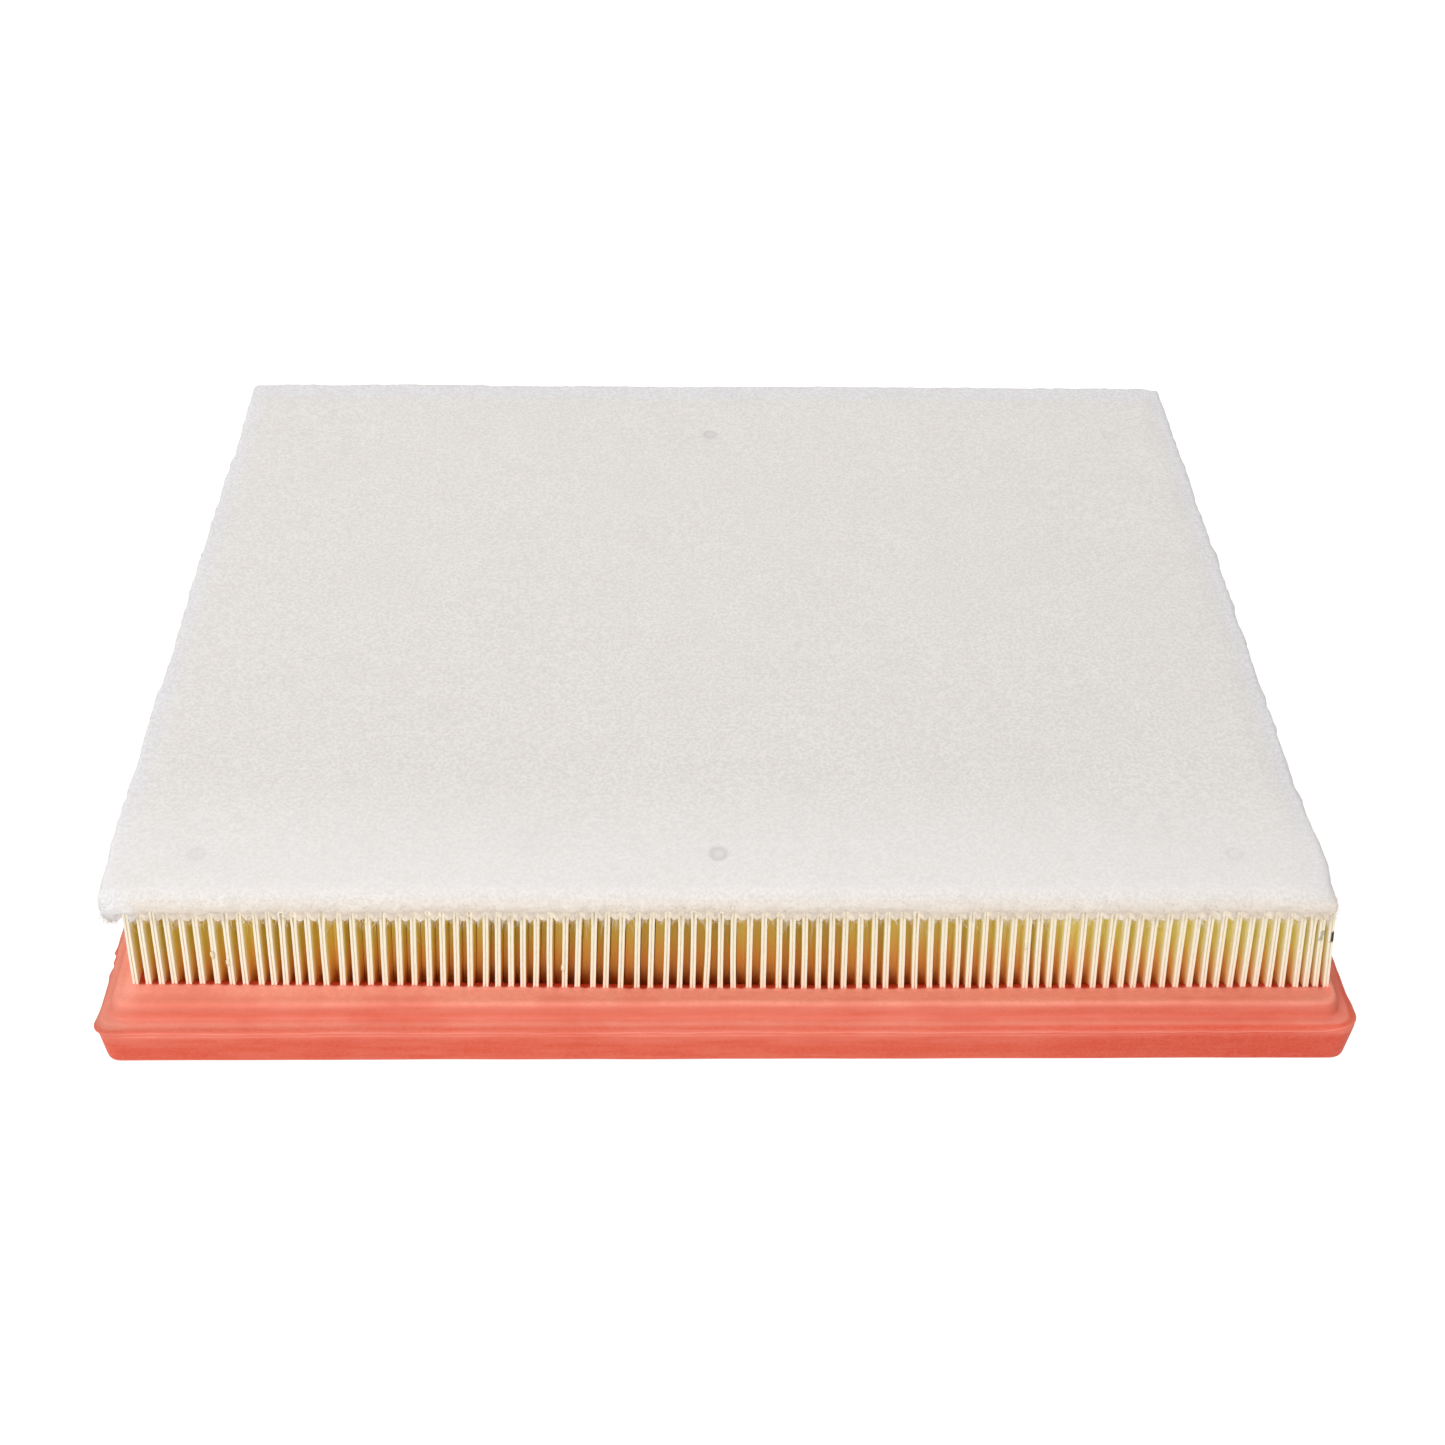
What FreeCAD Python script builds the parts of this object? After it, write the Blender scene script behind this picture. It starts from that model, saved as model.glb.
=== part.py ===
import FreeCAD, Part
import math
import os
import re
import Sketcher

# Pleated panel air filter, millimetres. +X runs along the long side, across the pleats, +Y along
# the pleats and +Z up through the prefilter pad. The origin is the middle of the seal's underside.

SHEET_NAME = "sizes"
ALIAS = re.compile(r"[a-z]+(?:_[a-z]+)+")
NEAR = 0.01
FAULTS = ("Invalid", "Error")

# alias, value
DRIVING_SIZES = [
    # seal frame: insets are measured inwards from the rim of the parting flash
    ("frame_length", 292.0),
    ("frame_width", 235.0),
    ("corner_radius", 4.5),
    ("base_inset", 0.9),
    ("base_rounding", 0.8),
    ("wall_inset", 0.2),
    ("parting_level", 10.3),
    ("flash_thickness", 0.5),
    ("ledge_inset", 1.2),
    ("ledge_level", 12.4),
    ("ledge_rounding", 0.3),
    ("shoulder_foot_inset", 3.3),
    ("shoulder_inset", 4.0),
    ("shoulder_level", 16.0),
    ("shoulder_rounding", 0.7),
    ("lip_width", 6.5),
    ("lip_rounding", 1.0),
    # pleated paper
    ("pleat_count", 88),
    ("pleat_pitch", 3.15),
    ("pack_shift", 1.3),
    ("pack_length", 215.2),
    ("fold_level", 5.0),
    ("tip_level", 38.2),
    ("fold_depth", 1.0),
    ("tip_half", 0.5),
    ("channel_floor_half", 0.15),
    ("fold_half", 0.5),
    ("pinch_length", 6.0),
    ("opening_length", 9.0),
    ("pinch_half", 0.7),
    ("seal_half", 0.2),
    # hot-melt spacer beads
    ("bead_lines", 5),
    ("bead_spacing", 42.0),
    ("bead_width", 1.6),
    ("bead_depth", 8.0),
    ("bead_margin", 1.0),
    # prefilter pad and the spots that bond it
    ("pad_length", 275.8),
    ("pad_width", 217.8),
    ("pad_thickness", 9.2),
    ("pad_corner_radius", 4.0),
    ("pad_rounding", 2.5),
    ("pad_shift_along", -2.5),
    ("pad_shift_across", 0.3),
    ("spot_radius", 3.0),
    ("spot_thickness", 0.4),
    ("spot_spread", 118.0),
    ("spot_front", -95.8),
    ("spot_rear", 81.2),
]

# values that follow from the ones above
FOLLOWING_SIZES = [
    ("first_pleat", "pack_shift - pleat_pitch * (pleat_count - 1) / 2"),
    ("pattern_span", "pleat_pitch * (pleat_count - 1)"),
    ("pocket_level", "tip_level - fold_depth"),
    ("channel_level", "fold_level + fold_depth"),
    ("seat_half_length", "pattern_span / 2 + pinch_half"),
    ("pad_level", "tip_level + spot_thickness"),
]


def make_sheet(doc):
    sheet = doc.addObject("Spreadsheet::Sheet", SHEET_NAME)
    for row, (alias, value) in enumerate(DRIVING_SIZES, start=1):
        sheet.set(f"A{row}", alias)
        sheet.set(f"B{row}", str(value))
        sheet.setAlias(f"B{row}", alias)
    for row, (alias, formula) in enumerate(FOLLOWING_SIZES, start=len(DRIVING_SIZES) + 1):
        sheet.set(f"A{row}", alias)
        sheet.set(f"B{row}", f"={formula}")
        sheet.setAlias(f"B{row}", alias)
    doc.recompute()
    return sheet


def qualified(formula):
    """The formula with each alias written as a cell of the sheet."""
    return ALIAS.sub(lambda found: f"{SHEET_NAME}.{found.group()}", formula)


def bind(thing, **formulas):
    """Ties properties to formulas; in a property's name a double underscore stands for a dot."""
    for name, formula in formulas.items():
        thing.setExpression(name.replace("__", "."), qualified(formula))


def value_of(thing, formula):
    return float(thing.evalExpression(qualified(formula)))


def new_body(doc, label):
    body = doc.addObject("PartDesign::Body", label)
    body.Label = label
    return body


def origin_feature(body, role):
    return next(each for each in body.Origin.OriginFeatures if each.Role == role)


def new_sketch(body, name, plane, offset):
    """A sketch parallel to an origin plane of its own body, moved along the plane's normal."""
    sketch = body.newObject("Sketcher::SketchObject", name)
    sketch.AttachmentSupport = (origin_feature(body, plane), [""])
    sketch.MapMode = "FlatFace"
    bind(sketch, AttachmentOffset__Base__z=offset)
    return sketch


def fix_point(sketch, geometry, point, across, up):
    """Holds one end point at its two distances from the sketch's origin."""
    for kind, formula in (("DistanceX", across), ("DistanceY", up)):
        value = value_of(sketch, formula)
        index = sketch.addConstraint(Sketcher.Constraint(kind, -1, 1, geometry, point, value))
        bind(sketch, **{f"Constraints[{index}]": formula})


def polygon(body, name, plane, offset, corners):
    """A closed outline of straight sides, each corner given as a pair of formulas."""
    sketch = new_sketch(body, name, plane, offset)
    points = [
        FreeCAD.Vector(value_of(sketch, across), value_of(sketch, up), 0) for across, up in corners
    ]
    count = len(points)
    for index in range(count):
        sketch.addGeometry(Part.LineSegment(points[index], points[(index + 1) % count]))
    for index in range(count):
        sketch.addConstraint(Sketcher.Constraint("Coincident", index, 2, (index + 1) % count, 1))
    for index, (across, up) in enumerate(corners):
        fix_point(sketch, index, 1, across, up)
    return sketch


def rectangle(body, name, level, half_length, half_width, shift="0"):
    """A level rectangle about a centre that is shifted along X."""
    left = f"{shift} - ({half_length})"
    right = f"{shift} + ({half_length})"
    front = f"-({half_width})"
    corners = [(left, front), (right, front), (right, half_width), (left, half_width)]
    return polygon(body, name, "XY_Plane", level, corners)


def rounded_rectangle(body, name, level, half_length, half_width, radius):
    """A level rectangle about the body's origin whose corners are tangent arcs."""
    sketch = new_sketch(body, name, "XY_Plane", level)
    a = value_of(sketch, half_length)
    b = value_of(sketch, half_width)
    r = value_of(sketch, radius)
    up = FreeCAD.Vector(0, 0, 1)
    right_angle = math.pi / 2
    vector = FreeCAD.Vector
    sides = [
        (vector(r - a, -b, 0), vector(a - r, -b, 0)),
        (vector(a, r - b, 0), vector(a, b - r, 0)),
        (vector(a - r, b, 0), vector(r - a, b, 0)),
        (vector(-a, b - r, 0), vector(-a, r - b, 0)),
    ]
    centres = [
        vector(a - r, r - b, 0),
        vector(a - r, b - r, 0),
        vector(r - a, b - r, 0),
        vector(r - a, r - b, 0),
    ]
    for start, end in sides:
        sketch.addGeometry(Part.LineSegment(start, end))
    for turn, centre in enumerate(centres):
        circle = Part.Circle(centre, up, r)
        start = (turn - 1) * right_angle
        sketch.addGeometry(Part.ArcOfCircle(circle, start, start + right_angle))
    for side in range(4):
        arc = side + 4
        direction = "Vertical" if side % 2 else "Horizontal"
        sketch.addConstraint(Sketcher.Constraint("Tangent", side, 2, arc, 1))
        sketch.addConstraint(Sketcher.Constraint("Tangent", arc, 2, (side + 1) % 4, 1))
        sketch.addConstraint(Sketcher.Constraint(direction, side))
    for arc in (5, 6, 7):
        sketch.addConstraint(Sketcher.Constraint("Equal", 4, arc))
    sketch.addConstraint(Sketcher.Constraint("Symmetric", 4, 3, 6, 3, -1, 1))
    sizes = [
        (Sketcher.Constraint("DistanceX", 3, 1, 1, 1, 2 * a), f"2 * ({half_length})"),
        (Sketcher.Constraint("DistanceY", 0, 1, 2, 1, 2 * b), f"2 * ({half_width})"),
        (Sketcher.Constraint("Radius", 4, r), radius),
    ]
    for constraint, formula in sizes:
        index = sketch.addConstraint(constraint)
        bind(sketch, **{f"Constraints[{index}]": formula})
    return sketch


def pad(body, name, sketch, length, midplane=False, reverse=False):
    feature = body.newObject("PartDesign::Pad", name)
    feature.Profile = sketch
    feature.Midplane = midplane
    feature.Reversed = reverse
    bind(feature, Length=length)
    body.Document.recompute()
    return feature


def pocket(body, name, sketch, length):
    """Cuts downwards from the sketch, and checks that it removed material."""
    before = body.Shape.Volume
    feature = body.newObject("PartDesign::Pocket", name)
    feature.Profile = sketch
    bind(feature, Length=length)
    body.Document.recompute()
    if feature.Shape.Volume >= before:
        raise RuntimeError(f"{name} cuts nothing")
    return feature


def loft(body, name, first, last):
    feature = body.newObject("PartDesign::AdditiveLoft", name)
    feature.Profile = first
    feature.Sections = [last]
    feature.Ruled = True
    body.Document.recompute()
    return feature


def round_edges(body, name, wanted, radius):
    """Fillets every edge of the body's tip that the test picks."""
    base = body.Tip
    edges = [f"Edge{n}" for n, edge in enumerate(base.Shape.Edges, start=1) if wanted(edge.BoundBox)]
    feature = body.newObject("PartDesign::Fillet", name)
    feature.Base = (base, edges)
    bind(feature, Radius=radius)
    body.Document.recompute()
    return feature


def at_level(level, half_length, half_width):
    """A test for the level edges of a rounded rectangle of this size at this height."""

    def wanted(box):
        flat = abs(box.ZMin - level) < NEAR and abs(box.ZMax - level) < NEAR
        reach_x = max(abs(box.XMin), abs(box.XMax))
        reach_y = max(abs(box.YMin), abs(box.YMax))
        on_outline = abs(reach_x - half_length) < NEAR or abs(reach_y - half_width) < NEAR
        return flat and on_outline

    return wanted


def row_of(body, name, originals, span, count, mirrored=False):
    """Repeats features along X, and across the middle plane of the pack too where asked."""
    pattern = body.newObject("PartDesign::LinearPattern", name)
    pattern.Direction = (origin_feature(body, "X_Axis"), [""])
    bind(pattern, Length=span, Occurrences=count)
    if not mirrored:
        pattern.Originals = originals
        body.Tip = pattern
        return pattern
    mirror = body.newObject("PartDesign::Mirrored", f"{name}_mirror")
    mirror.MirrorPlane = (origin_feature(body, "XZ_Plane"), [""])
    both = body.newObject("PartDesign::MultiTransform", f"{name}_both_halves")
    both.Originals = originals
    both.Transformations = [mirror, pattern]
    body.Tip = both
    return both


def outline(inset):
    """Half length, half width and corner radius of the frame's outline at an inset."""
    half_length = f"frame_length / 2 - {inset}"
    half_width = f"frame_width / 2 - {inset}"
    radius = f"corner_radius - {inset}"
    return half_length, half_width, radius


def add_outer_steps(body):
    """Drafted lower half, parting flash, sloping flange side and shoulder, one on the other."""
    flash_top = "parting_level + flash_thickness"
    base = rounded_rectangle(body, "base_outline", "0", *outline("base_inset"))
    wall = rounded_rectangle(body, "wall_outline", "parting_level", *outline("wall_inset"))
    loft(body, "lower_half", base, wall)
    flash = rounded_rectangle(body, "flash_outline", "parting_level", *outline("0"))
    pad(body, "parting_flash", flash, "flash_thickness")
    side = rounded_rectangle(body, "side_outline", flash_top, *outline("wall_inset"))
    ledge = rounded_rectangle(body, "ledge_outline", "ledge_level", *outline("ledge_inset"))
    loft(body, "flange", side, ledge)
    radius = "corner_radius - ledge_inset"
    foot_size = outline("shoulder_foot_inset")[:2]
    top_size = outline("shoulder_inset")[:2]
    foot = rounded_rectangle(body, "foot_outline", "ledge_level", *foot_size, radius)
    top = rounded_rectangle(body, "shoulder_outline", "shoulder_level", *top_size, radius)
    loft(body, "shoulder", foot, top)


def round_outer_edges(body):
    for name, level, inset, rounding in (
        ("base_edge", "0", "base_inset", "base_rounding"),
        ("ledge_edge", "ledge_level", "ledge_inset", "ledge_rounding"),
        ("shoulder_edge", "shoulder_level", "shoulder_inset", "shoulder_rounding"),
    ):
        size = [value_of(body, formula) for formula in (level, *outline(inset)[:2])]
        round_edges(body, name, at_level(*size), rounding)


def cut_window(body):
    """Seat that holds the pack's foot, and below it the clean-air window inside a supporting lip."""
    seat_size = ("seat_half_length", "pack_length / 2")
    seat = rectangle(body, "seat_outline", "shoulder_level", *seat_size, "pack_shift")
    pocket(body, "pack_seat", seat, "shoulder_level - fold_level")
    window_size = ("seat_half_length - lip_width", "pack_length / 2 - lip_width")
    window = rectangle(body, "window_outline", "fold_level", *window_size, "pack_shift")
    pocket(body, "clean_air_window", window, "fold_level")
    shift = value_of(body, "pack_shift")
    half_length, half_width = (value_of(body, formula) for formula in window_size)

    def underside_edge(box):
        reach_x = max(abs(box.XMin - shift), abs(box.XMax - shift))
        reach_y = max(abs(box.YMin), abs(box.YMax))
        return reach_x < half_length + NEAR and reach_y < half_width + NEAR and box.ZMax < NEAR

    round_edges(body, "lip_edge", underside_edge, "lip_rounding")


def make_seal_frame(doc):
    """Foamed polyurethane moulding that seals in the air box and holds the pack."""
    body = new_body(doc, "seal_frame")
    add_outer_steps(body)
    round_outer_edges(body)
    cut_window(body)
    return body


def regular_channel():
    """Section of the paper from one pleat tip to the next, where the pleats stand open."""
    middle = "first_pleat + pleat_pitch / 2"
    return channel(
        floor=(f"{middle} - channel_floor_half", f"{middle} + channel_floor_half"),
        fold=(f"{middle} - fold_half", f"{middle} + fold_half"),
    )


def pinched_channel():
    """The same section at the pack's ends, where each pleat is pressed shut."""
    right = "first_pleat + pleat_pitch"
    return channel(
        floor=("first_pleat + pinch_half", f"{right} - pinch_half"),
        fold=("first_pleat + seal_half", f"{right} - seal_half"),
    )


def channel(floor, fold):
    right = "first_pleat + pleat_pitch"
    return [
        ("first_pleat", "tip_level"),
        ("first_pleat + tip_half", "tip_level"),
        (floor[0], "channel_level"),
        (floor[1], "channel_level"),
        (f"{right} - tip_half", "tip_level"),
        (right, "tip_level"),
        (right, "pocket_level"),
        (fold[1], "fold_level"),
        (fold[0], "fold_level"),
        ("first_pleat", "pocket_level"),
    ]


def end_panel(pleat, side):
    """Section of the upright panel that closes the first or the last pleat."""
    return [
        (pleat, "tip_level"),
        (f"{pleat} {side} tip_half", "tip_level"),
        (f"{pleat} {side} pinch_half", "channel_level"),
        (f"{pleat} {side} pinch_half", "fold_level"),
        (f"{pleat} {side} seal_half", "fold_level"),
        (pleat, "pocket_level"),
    ]


def make_pleated_paper(doc):
    """One sheet folded into tall pleats, each pressed shut over a short length at both ends."""
    body = new_body(doc, "pleated_paper")
    half = "pack_length / 2"
    open_from = f"{half} - pinch_length - opening_length"
    open_section = polygon(body, "open_section", "XZ_Plane", "0", regular_channel())
    middle = pad(body, "open_pleat", open_section, open_from)
    start = polygon(body, "opening_start", "XZ_Plane", open_from, regular_channel())
    end = polygon(body, "opening_end", "XZ_Plane", f"{half} - pinch_length", pinched_channel())
    opening = loft(body, "opening_pleat", start, end)
    pinch_section = polygon(
        body, "pinch_section", "XZ_Plane", f"{half} - pinch_length", pinched_channel()
    )
    pinch = pad(body, "pinched_pleat", pinch_section, "pinch_length")
    row_of(
        body,
        "channels",
        [middle, opening, pinch],
        "pleat_pitch * (pleat_count - 2)",
        "pleat_count - 1",
        mirrored=True,
    )
    doc.recompute()
    for name, pleat, side in (
        ("left_panel", "first_pleat", "-"),
        ("right_panel", "first_pleat + pattern_span", "+"),
    ):
        section = polygon(body, f"{name}_section", "XZ_Plane", "0", end_panel(pleat, side))
        pad(body, name, section, "pack_length", midplane=True)
    return body


def make_end_seal(doc, label, end):
    """Glue that fills each pinched pleat, at the front (end 1) or the rear (end -1) of the pack."""
    body = new_body(doc, label)
    wedge = [
        ("first_pleat - seal_half", "fold_level"),
        ("first_pleat + seal_half", "fold_level"),
        ("first_pleat", "pocket_level"),
    ]
    face = "pack_length / 2" if end > 0 else "pinch_length - pack_length / 2"
    section = polygon(body, f"{label}_section", "XZ_Plane", face, wedge)
    seal = pad(body, f"{label}_wedge", section, "pinch_length", reverse=True)
    row_of(body, f"{label}_row", [seal], "pattern_span", "pleat_count")
    return body


def dirty_side_bead():
    """Section of a bead in the channel between two pleats, near their tips."""
    middle = "first_pleat + pleat_pitch / 2"
    lean = "(pleat_pitch / 2 - channel_floor_half - tip_half) / (tip_level - channel_level)"
    top_half = f"(pleat_pitch / 2 - tip_half - bead_margin * {lean})"
    low_half = f"(pleat_pitch / 2 - tip_half - (bead_margin + bead_depth) * {lean})"
    top = "tip_level - bead_margin"
    low = "tip_level - bead_margin - bead_depth"
    return bead_section(middle, top, top_half, low, low_half)


def clean_side_bead():
    """Section of a bead in the pocket inside a pleat, near the bottom folds."""
    pleat = "first_pleat + pleat_pitch"
    lean = "(pleat_pitch / 2 - fold_half) / (pocket_level - fold_level)"
    low_half = f"(pocket_level - fold_level - bead_margin) * {lean}"
    top_half = f"(pocket_level - fold_level - bead_margin - bead_depth) * {lean}"
    low = "fold_level + bead_margin"
    top = "fold_level + bead_margin + bead_depth"
    return bead_section(pleat, top, top_half, low, low_half)


def bead_section(middle, top, top_half, low, low_half):
    return [
        (f"{middle} - {top_half}", top),
        (f"{middle} - {low_half}", low),
        (f"{middle} + {low_half}", low),
        (f"{middle} + {top_half}", top),
    ]


def make_spacer_bead(doc, label, line, section, span, count):
    """One glue thread across the pack, which folding has left as a bead in every pleat."""
    body = new_body(doc, label)
    place = f"((bead_lines + 1) / 2 - {line}) * bead_spacing + bead_width / 2"
    outline_sketch = polygon(body, f"{label}_section", "XZ_Plane", place, section)
    bead = pad(body, f"{label}_first", outline_sketch, "bead_width", reverse=True)
    row_of(body, f"{label}_row", [bead], span, count)
    return body


def make_prefilter_pad(doc):
    """Closed outer shape of the nonwoven pad that lies on the pleat tips."""
    body = new_body(doc, "prefilter_pad")
    size = ("pad_length / 2", "pad_width / 2")
    outline_sketch = rounded_rectangle(body, "pad_outline", "pad_level", *size, "pad_corner_radius")
    pad(body, "pad_body", outline_sketch, "pad_thickness")
    top = value_of(body, "pad_level + pad_thickness")
    reach = [value_of(body, formula) for formula in size]
    round_edges(body, "pad_edge", at_level(top, *reach), "pad_rounding")
    bind(
        body,
        Placement__Base__x="pad_shift_along",
        Placement__Base__y="pad_shift_across",
    )
    return body


def make_glue_spot(doc, label, along, across):
    """A flat dab of hot melt between the pleat tips and the pad."""
    spot = doc.addObject("Part::Cylinder", label)
    spot.Label = label
    bind(
        spot,
        Radius="spot_radius",
        Height="spot_thickness",
        Placement__Base__x=along,
        Placement__Base__y=across,
        Placement__Base__z="tip_level",
    )
    return spot


def make_spacer_beads(doc, sheet):
    """Every line of beads, on the dirty side near the tips and on the clean side near the folds."""
    beads = []
    for line in range(1, int(sheet.bead_lines) + 1):
        beads.append(
            make_spacer_bead(
                doc,
                f"spacer_bead_top_{line}",
                line,
                dirty_side_bead(),
                "pleat_pitch * (pleat_count - 2)",
                "pleat_count - 1",
            )
        )
        beads.append(
            make_spacer_bead(
                doc,
                f"spacer_bead_bottom_{line}",
                line,
                clean_side_bead(),
                "pleat_pitch * (pleat_count - 3)",
                "pleat_count - 2",
            )
        )
    return beads


def make_glue_spots(doc):
    spots = []
    for side, along in (
        ("left", "pad_shift_along - spot_spread"),
        ("middle", "pad_shift_along"),
        ("right", "pad_shift_along + spot_spread"),
    ):
        for row, across in (("front", "spot_front"), ("rear", "spot_rear")):
            spots.append(make_glue_spot(doc, f"pad_glue_spot_{row}_{side}", along, across))
    return spots


def check(doc, subparts):
    """Stops before anything is written if an object failed or a sub-part has no sound solid."""
    for each in doc.Objects:
        if any(fault in each.State for fault in FAULTS):
            raise RuntimeError(f"{each.Label} did not recompute: {each.State}")
    for each in subparts:
        if each.Shape.isNull() or not each.Shape.isValid() or not each.Shape.Solids:
            raise RuntimeError(f"{each.Label} has no valid solid")


def main():
    doc = FreeCAD.newDocument("panel_air_filter")
    sheet = make_sheet(doc)
    subparts = [make_seal_frame(doc), make_pleated_paper(doc)]
    subparts.append(make_end_seal(doc, "end_seal_front", 1))
    subparts.append(make_end_seal(doc, "end_seal_rear", -1))
    subparts.extend(make_spacer_beads(doc, sheet))
    subparts.append(make_prefilter_pad(doc))
    subparts.extend(make_glue_spots(doc))
    doc.recompute()
    check(doc, subparts)
    os.makedirs("parts", exist_ok=True)
    for each in subparts:
        each.Shape.exportStep(f"parts/{each.Label}.step")
        box = each.Shape.BoundBox
        print(each.Label, len(each.Shape.Solids), "solids", box)


main()
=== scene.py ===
import math

import bpy
import numpy as np
from mathutils import Matrix, Vector, noise


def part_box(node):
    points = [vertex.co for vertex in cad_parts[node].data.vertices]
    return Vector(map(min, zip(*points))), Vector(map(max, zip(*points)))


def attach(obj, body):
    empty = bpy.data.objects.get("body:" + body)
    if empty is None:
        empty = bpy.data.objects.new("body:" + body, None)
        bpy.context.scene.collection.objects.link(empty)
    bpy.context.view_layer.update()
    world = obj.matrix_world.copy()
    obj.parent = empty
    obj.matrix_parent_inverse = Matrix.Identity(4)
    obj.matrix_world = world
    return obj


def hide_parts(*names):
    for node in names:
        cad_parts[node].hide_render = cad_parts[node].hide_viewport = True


# The looks of a pleated panel air filter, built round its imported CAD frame. Lengths are in
# millimetres until a mesh is made. Irregularity comes from seeded random numbers and noise.

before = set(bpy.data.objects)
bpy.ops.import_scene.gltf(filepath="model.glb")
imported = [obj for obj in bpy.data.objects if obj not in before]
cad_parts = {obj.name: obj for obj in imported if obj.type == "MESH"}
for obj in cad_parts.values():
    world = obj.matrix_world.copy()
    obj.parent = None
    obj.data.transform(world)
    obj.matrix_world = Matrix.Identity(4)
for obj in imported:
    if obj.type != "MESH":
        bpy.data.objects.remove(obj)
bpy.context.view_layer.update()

MM = 0.001
TIP_SINK = 3.0  # how far the pleat tips press up into the fleece
BODY = "root"


# ---- places read from the frame


def box_mm(node):
    low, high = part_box(node)
    return np.array(low) / MM, np.array(high) / MM


rim_lo, rim_hi = box_mm("seal_frame")
pack_lo, pack_hi = box_mm("pleated_paper")
pad_lo, pad_hi = box_mm("prefilter_pad")
SEAL_TOP = rim_hi[2]
FOLD_Z = pack_lo[2]
TIP_Z = pack_hi[2] + TIP_SINK
BEAD_NODES = sorted(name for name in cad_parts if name.startswith("spacer_bead"))
SPOT_NODES = sorted(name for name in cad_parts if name.startswith("pad_glue_spot"))


# ---- number and mesh helpers


def wobble(points, scale, seed, octaves=2):
    """Smooth noise, about -1 to 1, whose features are about this many millimetres across."""
    shift = Vector((17.3 * seed, -9.1 * seed, 5.7 * seed))
    return np.array([noise.fractal(Vector(p) / scale + shift, 0.6, 2.0, octaves) for p in points])


def smoothstep(value, start, end):
    """0 up to the start, rising smoothly to 1 at the end."""
    t = np.clip((value - start) / (end - start), 0, 1)
    return t * t * (3 - 2 * t)


def fade(value, start, end):
    """1 up to the start, falling smoothly to 0 at the end."""
    return 1 - smoothstep(value, start, end)


def bell(value, middle, width):
    return np.exp(-(((value - middle) / width) ** 2))


def turns(sides):
    """Angles evenly spaced round a circle."""
    return 2 * math.pi * np.arange(sides) / sides


def make_mesh(name, points, faces):
    mesh = bpy.data.meshes.new(name)
    mesh.from_pydata((np.asarray(points) * MM).tolist(), [], [list(map(int, f)) for f in faces])
    return mesh


def make_object(name, data):
    made = bpy.data.objects.new(name, data)
    bpy.context.scene.collection.objects.link(made)
    return made


def add_piece(name, points, faces, material, nodes=(), sharp=None):
    """A mesh object from points in millimetres that rides on the filter's one body."""
    mesh = make_mesh(name, points, faces)
    mesh.validate()
    mesh.shade_smooth()
    if sharp is not None:
        mesh.set_sharp_from_angle(angle=math.radians(sharp))
    mesh.materials.append(material)
    piece = make_object(name, mesh)
    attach(piece, BODY)
    if nodes:
        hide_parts(*nodes)
    return piece


def set_attributes(piece, **fields):
    """Numbers at a piece's points that its material reads."""
    for name, values in fields.items():
        attribute = piece.data.attributes.new(name, "FLOAT", "POINT")
        attribute.data.foreach_set("value", np.asarray(values, np.float32))


def grid_faces(rows, columns, close_rows=False, close_columns=False, start=0):
    """Quads over a grid of points stored row by row."""
    row_count = rows if close_rows else rows - 1
    column_count = columns if close_columns else columns - 1
    r, c = np.meshgrid(np.arange(row_count), np.arange(column_count), indexing="ij")
    r, c = r.ravel() * columns, c.ravel()
    r_next, c_next = (r + columns) % (rows * columns), (c + 1) % columns
    return np.stack((r + c, r_next + c, r_next + c_next, r + c_next), 1) + start


# ---- material helpers


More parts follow.
